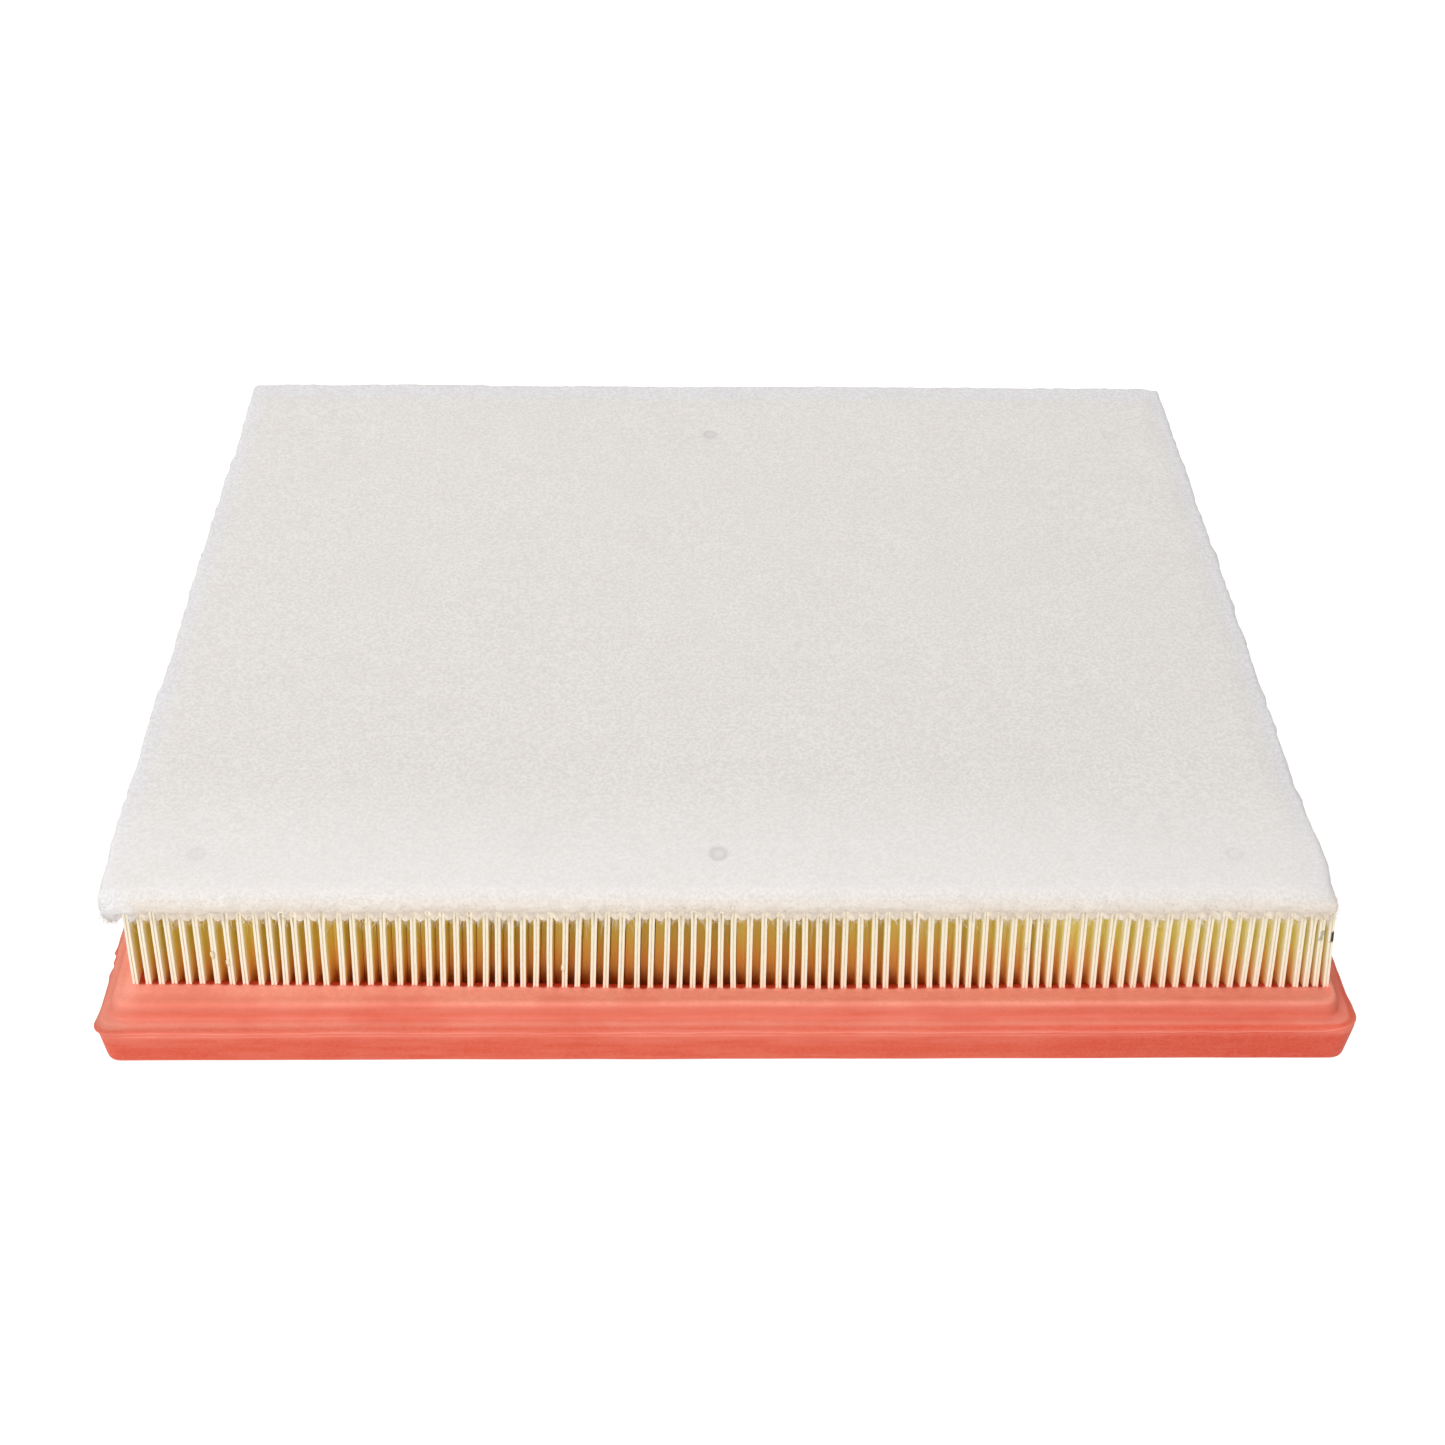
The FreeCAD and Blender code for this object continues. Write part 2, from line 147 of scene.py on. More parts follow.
class Nodes:
    """Short forms for the nodes that the materials share."""

    def __init__(self, name):
        self.material = bpy.data.materials.new(name)
        self.material.use_nodes = True
        self.tree = self.material.node_tree
        self.shader = self.tree.nodes["Principled BSDF"]
        self.place = self.add("TexCoord").outputs["Object"]

    def feed(self, value, socket):
        if isinstance(value, bpy.types.NodeSocket):
            self.tree.links.new(value, socket)
        else:
            socket.default_value = value

    def add(self, kind, inputs=(), **settings):
        """A node with its settings, and with values or links for its inputs."""
        node = self.tree.nodes.new("ShaderNode" + kind)
        for name, value in settings.items():
            setattr(node, name, value)
        for socket, value in dict(inputs).items():
            self.feed(value, node.inputs[socket])
        return node

    def noise(self, scale_mm, detail=4, roughness=0.55, stretch=None, turn=0.0):
        """Noise whose features are about this many millimetres across."""
        place = self.place
        if stretch:
            rotation = (0, 0, math.radians(turn))
            mapping = {"Vector": place, "Rotation": rotation, "Scale": stretch}
            place = self.add("Mapping", mapping).outputs[0]
        values = {"Vector": place, "Scale": 1 / (scale_mm * MM), "Detail": detail}
        return self.add("TexNoise", {**values, "Roughness": roughness}).outputs["Fac"]

    def distance(self, centre):
        """How far a point is from a centre, seen from above."""
        flat = self.add("VectorMath", {0: self.place, 1: (1, 1, 0)}, operation="MULTIPLY")
        ends = {0: flat.outputs[0], 1: (centre[0], centre[1], 0)}
        return self.add("VectorMath", ends, operation="DISTANCE").outputs["Value"]

    def math(self, operation, first, second=0.0, third=0.0, clamp=False):
        values = {0: first, 1: second, 2: third}
        return self.add("Math", values, operation=operation, use_clamp=clamp).outputs[0]

    def times(self, first, second, clamp=False):
        return self.math("MULTIPLY", first, second, clamp=clamp)

    def away(self, value, middle):
        return self.math("ABSOLUTE", self.math("SUBTRACT", value, middle))

    def span(self, value, low, high, to_low=0.0, to_high=1.0):
        """The value moved from one range to another, smoothly and clamped."""
        values = {"Value": value, "From Min": low, "From Max": high}
        values.update({"To Min": to_low, "To Max": to_high})
        return self.add("MapRange", values, interpolation_type="SMOOTHSTEP").outputs["Result"]

    def mix(self, factor, first, second):
        values = {"Factor": factor, 6: first, 7: second}
        return self.add("Mix", values, data_type="RGBA").outputs[2]

    def attribute(self, name):
        return self.add("Attribute", attribute_name=name).outputs["Fac"]

    def bump(self, height, distance_mm, strength):
        normal = self.shader.inputs["Normal"]
        values = {"Height": height, "Distance": distance_mm * MM, "Strength": strength}
        node = self.add("Bump", values)
        if normal.is_linked:
            self.feed(normal.links[0].from_socket, node.inputs["Normal"])
        self.feed(node.outputs[0], normal)

    def set(self, **values):
        for name, value in values.items():
            self.feed(value, self.shader.inputs[name.replace("_", " ")])


def rgb(red, green, blue):
    return (red, green, blue, 1.0)


# ---- materials

FOAM_DEEP, FOAM_LIGHT = rgb(0.71, 0.085, 0.037), rgb(0.74, 0.10, 0.046)
# painted sheen and painted light that make the foam's skin paler
FOAM_PALE = rgb(0.985, 0.375, 0.28)
# painted shade: deep red for the foam in shadow
FOAM_WET = rgb(0.60, 0.035, 0.01)
# painted shade: a duller colour that dims faces the lamps light strongly
FOAM_DULL = rgb(0.40, 0.14, 0.09)
FOAM_SPECKLE = rgb(0.82, 0.20, 0.13)
PAPER_YELLOW = rgb(0.92, 0.87, 0.42), rgb(0.94, 0.90, 0.47)
# painted shade: darker, deeper yellow for the paper's left half
PAPER_AGED = rgb(0.85, 0.73, 0.19)
# painted reflection: red light from the foam on the paper
PAPER_SOAKED = rgb(0.97, 0.56, 0.16)
# cream cut ends: the edge's own colour and painted light
PAPER_CUT = rgb(0.95, 0.86, 0.68), rgb(0.98, 0.91, 0.75)
INK = rgb(0.03, 0.035, 0.025)
# painted light: warm tones where yellow light from the paper comes up through the fleece
FLEECE_WARM = rgb(0.92, 0.875, 0.835), rgb(0.95, 0.91, 0.87)
FLEECE_COOL = rgb(0.91, 0.91, 0.965), rgb(0.94, 0.94, 0.985)
FLEECE_FELTED, FLEECE_TANGLE = rgb(0.95, 0.935, 0.92), rgb(0.78, 0.74, 0.71)
# painted highlight on the pad's front crest
FLEECE_CREST = rgb(0.985, 0.95, 0.93)
# painted shade of the dimples over the glue
FLEECE_BOND = rgb(0.58, 0.56, 0.57)
# painted light: warm beige on the pad's low faces where the paper shines through
FLEECE_BEIGE = rgb(0.90, 0.79, 0.67), rgb(0.82, 0.70, 0.57)
# painted shade seen through gaps in the fringe
FLEECE_GAP = rgb(0.58, 0.42, 0.26)
# painted light: bright amber on the lowest faces over the paper, which lie in shade
FLEECE_AMBER = rgb(0.99, 0.88, 0.71)
GLUE_HONEY = rgb(0.80, 0.66, 0.42), rgb(0.90, 0.80, 0.60)
FLOOR_WHITE = rgb(0.50, 0.50, 0.50), rgb(0.52, 0.52, 0.52)
FLOOR_GLOW = 0.8
INK_HEIGHT = 32.2
# each pen stroke's offset from its pleat's middle and its strength, from the last pleat in
INK_STROKES = ((0.35, 1.0), (0.0, 0.45))
SIDE_BOND_SHARE = 0.35


def polyurethane():
    """Soft salmon foam with a closed moulded skin, with painted sheen on its upward faces and edges,
    painted light at its left end, and painted shade between the pleats, towards the right end and on
    some walls.
    """
    n = Nodes("polyurethane_foam")
    cloud = n.span(n.noise(28, 3), 0.3, 0.7)
    streak = n.span(n.noise(2.2, 4, 0.6, (0.12, 0.12, 1)), 0.3, 0.7)
    speckle = n.span(n.noise(0.9, 5, 0.7), 0.35, 0.65)
    # painted sheen on upward faces and edges and painted light at the left end, with random streaks
    # added
    rubbed = n.math("SUBTRACT", n.attribute("pale"), 0.06)
    worn = n.math("ADD", rubbed, n.times(streak, 0.2), clamp=True)
    skin = n.mix(worn, n.mix(cloud, FOAM_DEEP, FOAM_LIGHT), FOAM_PALE)
    # painted shade between the pleat feet and towards the right end
    skin = n.mix(n.attribute("wet"), skin, FOAM_WET)
    # painted shade that dims some walls and the left rim
    skin = n.mix(n.attribute("dull"), skin, FOAM_DULL)
    n.set(Base_Color=n.mix(n.times(speckle, 0.3), skin, FOAM_SPECKLE))
    n.set(Roughness=n.span(n.noise(3.0, 4), 0.3, 0.7, 0.58, 0.72), Specular_IOR_Level=0.3)
    n.set(Subsurface_Weight=0.12, Subsurface_Scale=0.0015, Subsurface_Radius=(1.0, 0.3, 0.15))
    n.bump(n.noise(9, 3), 0.22, 0.35)
    n.bump(n.noise(0.7, 5, 0.65), 0.05, 0.5)
    return n.material


def ink_strokes(n):
    """1 on two short upright pen strokes on the last two pleats, the inner one fainter."""
    x, y, z = n.add("SeparateXYZ", {0: n.place}).outputs
    ragged = n.times(n.math("SUBTRACT", n.noise(1.0, 3), 0.5), 0.0016)
    height = n.away(n.math("ADD", z, ragged), INK_HEIGHT * MM)
    level = n.span(height, 0.0014, 0.0020, 1.0, 0.0)
    in_front = n.span(y, (pack_lo[1] + 0.8) * MM, (pack_lo[1] + 1.4) * MM, 1.0, 0.0)
    total = 0.0
    for step, (offset, strength) in enumerate(INK_STROKES):
        pleat = PLEAT_COUNT - 1 - step
        middle = (FEET[pleat] + TIPS[pleat]) / 2 - 0.3 + offset
        away = n.away(n.math("ADD", x, ragged), middle * MM)
        stroke = n.times(n.span(away, 0.0003, 0.0006, 1.0, 0.0), strength)
        total = n.math("ADD", stroke, total, clamp=True)
    return n.times(n.times(level, total), in_front)


def paper():
    """Resin-cured filter paper: yellow inside the pleats, with painted shade over its left half, a
    painted red reflection from the foam near its feet, and cream at its cut ends that is partly the
    cut edge's own colour and partly painted light.
    """
    n = Nodes("filter_paper")
    fibre = n.noise(0.9, 6, 0.7)
    warm = n.mix(n.span(n.noise(6, 3), 0.35, 0.65), *PAPER_YELLOW)
    # painted shade over the left half of the pack, fading out to the right
    warm = n.mix(n.times(n.attribute("aged"), 0.85), warm, PAPER_AGED)
    # painted reflection: red light from the foam on the paper near its feet
    warm = n.mix(n.times(n.attribute("soaked"), 0.6), warm, PAPER_SOAKED)
    # cream at the cut ends: partly the cut edge's own paler colour, partly painted light reaching into
    # the pleats from their open ends
    cut = n.span(n.attribute("from_cut"), 0.0, 3.6, 1.0, 0.0)
    colour = n.mix(cut, warm, n.mix(n.span(fibre, 0.35, 0.65), *PAPER_CUT))
    n.set(Base_Color=n.mix(ink_strokes(n), colour, INK), Roughness=0.9, Specular_IOR_Level=0.25)
    n.bump(fibre, 0.04, 0.6)
    return n.material


def bond_rings(n):
    """1 on grey rings over the dabs of glue, painted shade of the dimples there, fainter at the sides.
    """
    total = 0.0
    for node in SPOT_NODES:
        low, high = box_mm(node)
        away = n.math("DIVIDE", n.distance((low + high) / 2 * MM), MM)
        ring = n.times(n.span(away, 0.6, 1.6, 0.45, 1.0), n.span(away, 1.7, 2.7, 1.0, 0.0))
        clear = 1.0 if "middle" in node else SIDE_BOND_SHARE
        total = n.math("MULTIPLY_ADD", ring, clear, total)
    return total


def fleece():
    """Carded nonwoven: short tangled fibres that mottle it, cool where nothing lies below and warm
    with painted light where the paper below shows through.
    """
    n = Nodes("fleece")
    blotch = n.span(n.noise(14, 4, 0.6), 0.3, 0.7)
    mottle = n.span(n.noise(1.5, 5, 0.72), 0.38, 0.62)
    tangle = n.span(n.noise(0.8, 3, 0.8), 0.4, 0.6)
    # painted shade: brown specks where gaps in the low fringe show the shaded pleats behind
    gaps = n.times(n.span(n.noise(0.6, 2), 0.60, 0.68), n.attribute("golden"))
    # painted light: warm over the paper for the yellow light shining up through the fleece, cool where
    # nothing lies below
    warm, cool = n.mix(blotch, *FLEECE_WARM), n.mix(blotch, *FLEECE_COOL)
    felted = n.mix(n.times(mottle, 0.6), n.mix(n.attribute("overhang"), warm, cool), FLEECE_FELTED)
    colour = n.mix(n.times(tangle, 0.8), felted, FLEECE_TANGLE)
    beige = n.mix(n.times(tangle, 0.5), *FLEECE_BEIGE)
    # painted highlight on the front crest of the top
    colour = n.mix(n.attribute("crest"), colour, FLEECE_CREST)
    # painted shade: grey rings where the pad dips over the glue
    colour = n.mix(n.times(bond_rings(n), 0.5, clamp=True), colour, FLEECE_BOND)
    # painted light: warm beige on the low front and rear faces over the paper, also lifting their
    # shade
    colour = n.mix(n.times(n.attribute("golden"), 0.85), colour, beige)
    colour = n.mix(n.times(gaps, 0.6), colour, FLEECE_GAP)
    # painted light: bright amber on the lowest faces over the paper
    colour = n.mix(n.attribute("amber"), colour, FLEECE_AMBER)
    n.set(Base_Color=colour, Roughness=0.95, Specular_IOR_Level=0.15)
    n.set(Sheen_Weight=0.25, Sheen_Roughness=0.6)
    strands = n.noise(0.35, 5, 0.7, (1, 6, 1), 25)
    crossing = n.noise(0.35, 5, 0.7, (6, 1, 1), -20)
    n.bump(n.math("ADD", strands, crossing), 0.16, 0.7)
    n.bump(n.noise(2.0, 5, 0.7), 0.16, 0.6)
    return n.material


def hot_melt():
    """Honey-coloured hot-melt glue, slightly clear."""
    n = Nodes("hot_melt")
    cloud = n.span(n.noise(2.2, 3), 0.3, 0.7)
    n.set(Base_Color=n.mix(cloud, *GLUE_HONEY), Roughness=0.35)
    n.set(Subsurface_Weight=0.3, Subsurface_Scale=0.001)
    n.bump(n.noise(0.8, 3), 0.06, 0.5)
    return n.material


def floor_paper():
    """White sweep that is bright enough to show no horizon and little shadow."""
    n = Nodes("floor")
    tone = n.span(n.noise(60, 2), 0.3, 0.7)
    n.set(Base_Color=n.mix(tone, *FLOOR_WHITE), Roughness=0.9)
    n.set(Emission_Color=rgb(1, 1, 1), Emission_Strength=FLOOR_GLOW)
    return n.material


# ---- seal frame

FLANGE_RADIUS = 4.5
SHOULDER_RADIUS = 3.3
ALONG_STEP = 1.1
CORNER_STEPS = 10
PARTING_Z = 10.5
WINDOW_DEPTH = 6.5

# inset from the outer rim, height and painted sheen, from the underside up to the shoulder's top edge
OUTER_PROFILE = [
    (5.0, 0.0, 0.1), (1.9, 0.0, 0.1), (1.25, 0.12, 0.2), (0.95, 0.5, 0.2), (0.85, 1.2, 0.05),
    (0.62, 4.0, 0.0), (0.36, 7.2, 0.05), (0.2, 9.0, 0.15), (0.14, 9.6, 0.35), (0.3, 9.9, 0.4),
    (0.5, 10.1, 0.1), (0.5, 10.25, 0.1), (0.05, 10.35, 0.4), (0.0, 10.5, 0.5), (0.08, 10.66, 0.5),
    (0.4, 10.78, 0.2), (0.55, 10.95, 0.2), (0.7, 11.4, 0.05), (0.95, 12.0, 0.15), (1.25, 12.32, 0.5),
    (1.7, 12.42, 0.6), (2.3, 12.4, 0.6), (2.9, 12.36, 0.5), (3.2, 12.44, 0.3), (3.4, 12.75, 0.25),
    (3.55, 13.5, 0.22), (3.75, 14.6, 0.28), (3.9, 15.2, 0.35), (4.15, 15.65, 0.6), (4.55, 15.92, 0.9),
    (5.0, 16.0, 0.95),
]
# share of the way from the shoulder's top edge to the pack, height and painted sheen
SHOULDER_PROFILE = [
    (0.22, 15.95, 0.85), (0.42, 15.85, 1.0), (0.62, 15.84, 1.15), (0.8, 15.9, 1.15),
    (0.93, 16.05, 1.05), (1.0, 16.3, 0.9),
]
# depth inside the pack's outline, height and painted sheen: the foam that rose between the pleats
SOAKED_PROFILE = [
    (0.6, 16.1, 0.1), (1.6, 15.6, 0.0), (2.8, 14.6, 0.0), (3.4, 12.0, 0.0), (7.0, 8.5, 0.0),
]
# distance outside the clean-air window, height and painted sheen, back round to the underside
WINDOW_PROFILE = [
    (0.0, 6.4, 0.0), (0.0, 4.6, 0.0), (0.0, 1.2, 0.1), (0.3, 0.4, 0.2), (1.0, 0.0, 0.1),
]
# how much higher or lower the foam stands round the pleats, from left to right
FOAM_LEVEL = ((-132.0, -70.0, -25.0, 30.0, 135.0), (0.6, -0.3, -1.2, -1.4, -1.2))


def ring(x0, x1, y0, y1, radius, z):
    """A level rounded rectangle with the same number of points whatever its size."""
    along, across = (int(round(side / ALONG_STEP)) for side in (rim_hi - rim_lo)[:2])
    corners = [
        (x1 - radius, y0 + radius, -90), (x1 - radius, y1 - radius, 0),
        (x0 + radius, y1 - radius, 90), (x0 + radius, y0 + radius, 180),
    ]

    def on_arc(corner, turn):
        angle = math.radians(corner[2] + turn)
        x, y = corner[0] + radius * math.cos(angle), corner[1] + radius * math.sin(angle)
        return np.array((x, y, z))

    points = []
    for index, corner in enumerate(corners):
        points += [on_arc(corner, 90 * step / CORNER_STEPS) for step in range(CORNER_STEPS + 1)]
        here, there = points[-1], on_arc(corners[(index + 1) % 4], 0)
        count = across if index % 2 == 0 else along
        points += [here + (there - here) * step / count for step in range(1, count)]
    return np.array(points)


def inset_ring(inset, z):
    share = smoothstep(inset, 2.0, 3.4)
    radius = (1 - share) * max(FLANGE_RADIUS - inset, 0.5) + share * SHOULDER_RADIUS
    return ring(rim_lo[0] + inset, rim_hi[0] - inset, rim_lo[1] + inset, rim_hi[1] - inset, radius, z)


def pack_ring(depth, z, radius=0.6):
    """A ring at a depth inside the foot of the pleated pack."""
    x0, x1 = FEET[0] - STICK_HALF, FEET[-1] + STICK_HALF
    return ring(x0 + depth, x1 - depth, pack_lo[1] + depth, pack_hi[1] - depth, radius, z)


def blend_rings(outer, inner, share, z):
    made = outer * (1 - share) + inner * share
    made[:, 2] = z
    return made


def frame_rings():
    """Every ring of the frame, with its distance from the rim and its painted sheen."""
    layers = [(inset_ring(inset, z), inset, pale) for inset, z, pale in OUTER_PROFILE]
    edge, foot, edge_inset = layers[-1][0], pack_ring(0.0, SEAL_TOP), OUTER_PROFILE[-1][0]
    for share, z, pale in SHOULDER_PROFILE:
        layers.append((blend_rings(edge, foot, share, z), edge_inset + 4 * share, pale))
    for depth, z, pale in SOAKED_PROFILE:
        layers.append((pack_ring(depth, z), 10.0 + depth, pale))
    for outside, z, pale in WINDOW_PROFILE:
        layers.append((pack_ring(WINDOW_DEPTH - outside, z, 1.0 + outside), 14.0, pale))
    return layers


def corner_nearness(points, x, y, reach):
    away = np.hypot(points[:, 0] - x, points[:, 1] - y)
    return np.clip(1 - away / reach, 0, 1) ** 2


def roughen_frame(points, insets):
    """Moulding flaws, made in place: wavy faces, then flash at the parting line."""
    x, y, z = points.T
    on_end = np.abs(x / rim_hi[0]) > np.abs(y / rim_hi[1])
    normal = np.stack([np.sign(x) * on_end, np.sign(y) * ~on_end, 0 * z], 1)
    near_skin = fade(insets, 5.0, 9.0)
    z += smoothstep(z, 0.0, 4.0) * (0.13 * wobble(points, 45, 1) + 0.05 * wobble(points, 9, 2))
    points += normal * (near_skin * 0.12 * wobble(points, 30, 3))[:, None]
    # the flash is uneven, and it climbs at the right-hand corners
    at_parting = bell(z, PARTING_Z, 0.55) * (insets < 1.2)
    flash = at_parting * (0.16 * wobble(points, 5, 4) + 0.2 * wobble(points, 22, 5) - 0.1)
    points += normal * flash[:, None]
    # the lower wall stands a little further out at the right-hand end
    right_end = smoothstep(x, rim_hi[0] - 8.0, rim_hi[0] - 0.5)
    right_end *= fade(y, rim_lo[1] + 2.0, rim_lo[1] + 14.0)
    x += 0.9 * right_end * fade(z, 10.8, 12.0)
    climb = smoothstep(x, rim_hi[0] - 9.0, rim_hi[0] - 0.5) * (y < 0)
    z += 1.3 * climb * bell(z, PARTING_Z + 0.1, 1.2) * (insets < 1.6)
    # a blob of flash on the near left corner
    near_corner = corner_nearness(points, rim_lo[0] + 1.4, rim_lo[1] + 2.2, 7.0) ** 0.6
    swollen = near_corner * bell(z, PARTING_Z + 0.5, 1.2) * (insets < 2.4)
    points += np.array([-0.9, -0.4, 0.0]) * swollen[:, None]
    # torn flash along the left rim
    torn = corner_nearness(points, rim_lo[0] + 1.0, rim_lo[1] + 24.0, 9.0)
    ragged = torn * (insets < 1.9) * (z > 9.8) * (z < 12.6)
    x += ragged * (1.3 * wobble(points, 2.2, 6) - 0.2)


def settle_foam(points, insets):
    """The foam stands lower to the right, climbs each pleat's foot and sinks between them."""
    x, y, z = points.T
    level = np.interp(x, *FOAM_LEVEL) * np.clip((insets - 5.0) / 4.0, 0, 1)
    z += np.where(z > 11.5, level, 0)
    z += np.where((insets > 9.0) & (z > 13), 0.25 * wobble(points, 6, 8), 0)
    phase = np.interp(x, FEET, np.arange(PLEAT_COUNT))
    wetted = (insets > 8.5) & (insets < 12.0) & (np.abs(y) > 100)
    z += np.where(wetted, 0.28 * np.cos(2 * math.pi * phase) - 0.1, 0)


def tint_frame(piece, points, insets, paleness):
    """Painted light and shade on the foam's skin: pale painted sheen and light, deep red painted
    shade, and dull painted dimming.
    """
    x, y, z = points.T
    patches = 0.3 * wobble(points, 18, 9) + 0.15 * wobble(points, 4, 10)
    right_share = smoothstep(x, 20.0, rim_hi[0] - 20.0)
    left_share = fade(x, rim_lo[0] + 10.0, -40.0)
    between_feet = (insets > 10.3) & (z > SEAL_TOP - 5)
    upper_wall = (insets > 0.35) & (insets < 1.3) & (z > 10.8)
    shoulder_wall = (insets > 3.3) & (insets < 4.0) & (z > 12.5)
    left_rim = fade(x, rim_lo[0] + 3.0, rim_lo[0] + 9.0) * (z > 9.5)
    # painted shade: deep red between the pleat feet, and redder towards the right end, most on the
    # lower wall
    wet = np.where(between_feet, 0.5, 0.14 * right_share * (1 + 2.2 * (z < 10.0)))
    # painted shade: the upper walls, the shoulder wall, the left rim and the upper outer faces dimmed
    dull = upper_wall * (0.15 * (1 - right_share) + 0.12 * left_share)
    dull += 0.18 * shoulder_wall + 0.2 * left_rim + 0.06 * (insets < 3.2) * (z > 12.0)
    # painted light: the left end of the frame made paler
    rubbed = 0.3 * fade(x, rim_lo[0] + 4.0, rim_lo[0] + 12.0) * (z > 11.5)
    # less painted sheen on the inner faces towards the left
    faded = paleness * (1 - 0.4 * left_share * (insets > 4.0))
    pale = np.clip(faded * (1 + patches) + rubbed, 0, 1)
    set_attributes(piece, wet=wet, dull=dull, pale=pale)


def build_frame(material):
    rings, insets, paleness = zip(*frame_rings())
    columns = len(rings[0])
    points = np.concatenate(rings)
    insets = np.repeat(insets, columns)
    roughen_frame(points, insets)
    settle_foam(points, insets)
    faces = grid_faces(len(rings), columns, close_rows=True, close_columns=True)[:, ::-1]
    slot, node = "polyurethane_foam", "seal_frame"
    piece = add_piece("seal_frame_foam", points, faces, material, [node])
    tint_frame(piece, points, insets, np.repeat(paleness, columns))


# ---- pleated paper

PLEAT_COUNT = 88
LEFT_MARGIN = 9.0
RIGHT_MARGIN = 5.8
PITCH_SPREAD = 0.095
PITCH_LIMITS = (0.76, 1.26)
CROWDED = 0.74
PAPER = 0.52
PINCH_GAP = 0.2
PINCH = (PAPER + PINCH_GAP) / 2
STICK_HALF = PINCH + PAPER / 2
TIP_HALF = 0.42
TIP_CAP = 0.55
PINCH_LENGTH = 6.4
OPENING_LENGTH = 1.8
BELLY = 0.04
# how far off the middle of a channel its walls meet, in pitches, and where that changes sides
MEETING_OFFSET = 0.27
MEETING_TURN = (-122.0, -88.0)
LEAN = 1.6
LEAN_REACH = 40.0
RIGHT_LEAN = 1.9
END_TIP_DROP = 0.6
PANEL_SHARES = (0.0, 0.05, 0.15, 0.4, 0.7, 1.0)
# distance of each section from the end of the pack
END_STATIONS = (
    0.0, 0.35, 1.8, 4.0, 6.4, 6.8, 7.15, 7.5, 7.8, 8.05, 8.2, 10.5, 17.0, 28.0, 48.0, 76.0,
)


def pleat_lines():
    """Foot, tip, bow and flare of every pleat: unevenly spaced, leaning towards the middle."""
    random = np.random.default_rng(88)
    gaps = np.clip(random.normal(1.0, PITCH_SPREAD, PLEAT_COUNT - 1), *PITCH_LIMITS)
    gaps[-3:] = CROWDED
    start, end = rim_lo[0] + LEFT_MARGIN, rim_hi[0] - RIGHT_MARGIN
    feet = start + (end - start) * np.concatenate([[0], np.cumsum(gaps)]) / gaps.sum()
    tips = feet - LEAN * np.tanh(feet / LEAN_REACH)
    tips -= RIGHT_LEAN * np.clip(feet / end, 0, 1) ** 9
    tips += random.normal(0, 0.09, PLEAT_COUNT)
    bows = random.normal(0, 0.06, PLEAT_COUNT)
    flares = np.clip(random.normal(0.04, 0.12, PLEAT_COUNT), 0, 0.3)
    return feet, tips, bows, flares


FEET, TIPS, BOWS, FLARES = pleat_lines()


def axis_x(pleat, z, y):
    """Where the middle of a pleat is at a height and a place along it."""
    share = (z - SEAL_TOP) / (TIP_Z - SEAL_TOP)
    wander = 0.08 * noise.noise(Vector((pleat * 1.7, y / 30, 3.1)))
    line = FEET[pleat] + (TIPS[pleat] - FEET[pleat]) * share
    return line + BOWS[pleat] * 4 * share * (1 - share) + wander * (0.35 + 0.65 * share)


def from_pack_end(y):
    return min(y - pack_lo[1], pack_hi[1] - y)


def open_share(y):
    """0 where the pleats are pinched shut, 1 where they stand open."""
    return min(max((from_pack_end(y) - PINCH_LENGTH) / OPENING_LENGTH, 0.0), 1.0) ** 1.6


def meeting_offset(pleat, y):
    """How far off the middle of their channel two pleats meet behind the pinched ends."""
    turned = 1 - 2 * float(smoothstep(FEET[pleat], *MEETING_TURN))
    return MEETING_OFFSET * turned * float(fade(from_pack_end(y), 10.0, 40.0))


def panel_half(pleat, side, z, y):
    """Half the spread of a pleat's two panels, to one side, measured to the paper's middle."""
    down = (TIP_Z - z) / (TIP_Z - FOLD_Z)
    neighbour = min(max(pleat + side, 0), PLEAT_COUNT - 1)
    shut = PINCH + FLARES[pleat] * float(smoothstep(z, TIP_Z - 6.0, TIP_Z - 0.5))
    if neighbour == pleat:
        wide = TIP_HALF + 0.3 * down
    else:
        gap = abs(axis_x(neighbour, z, y) - axis_x(pleat, z, y))
        reach = gap * (0.5 + side * meeting_offset(pleat, y)) - PAPER / 2 - 0.05
        wide = TIP_HALF + (max(reach, TIP_HALF) - TIP_HALF) * down ** BELLY
    return shut + (wide - shut) * open_share(y)


def section(y, jitter):
    """The paper's middle line across all pleats at one place along them, as x and z pairs."""
    line = []
    low = FOLD_Z + PAPER / 2
    for pleat in range(PLEAT_COUNT):
        tip = TIP_Z - 0.35 * abs(jitter[pleat]) - (END_TIP_DROP if pleat == PLEAT_COUNT - 1 else 0.0)
        heights = [tip - TIP_CAP - share * (tip - TIP_CAP - low) for share in PANEL_SHARES]
        for z in reversed(heights):
            line.append((axis_x(pleat, z, y) - panel_half(pleat, -1, z, y), z))
        spread = 0.55 * panel_half(pleat, 1, tip, y)
        for side in (-1, 1):
            line.append((axis_x(pleat, tip, y) + side * spread, tip - PAPER / 2 - 0.06))
        for z in heights:
            line.append((axis_x(pleat, z, y) + panel_half(pleat, 1, z, y), z))
    return np.array(line)


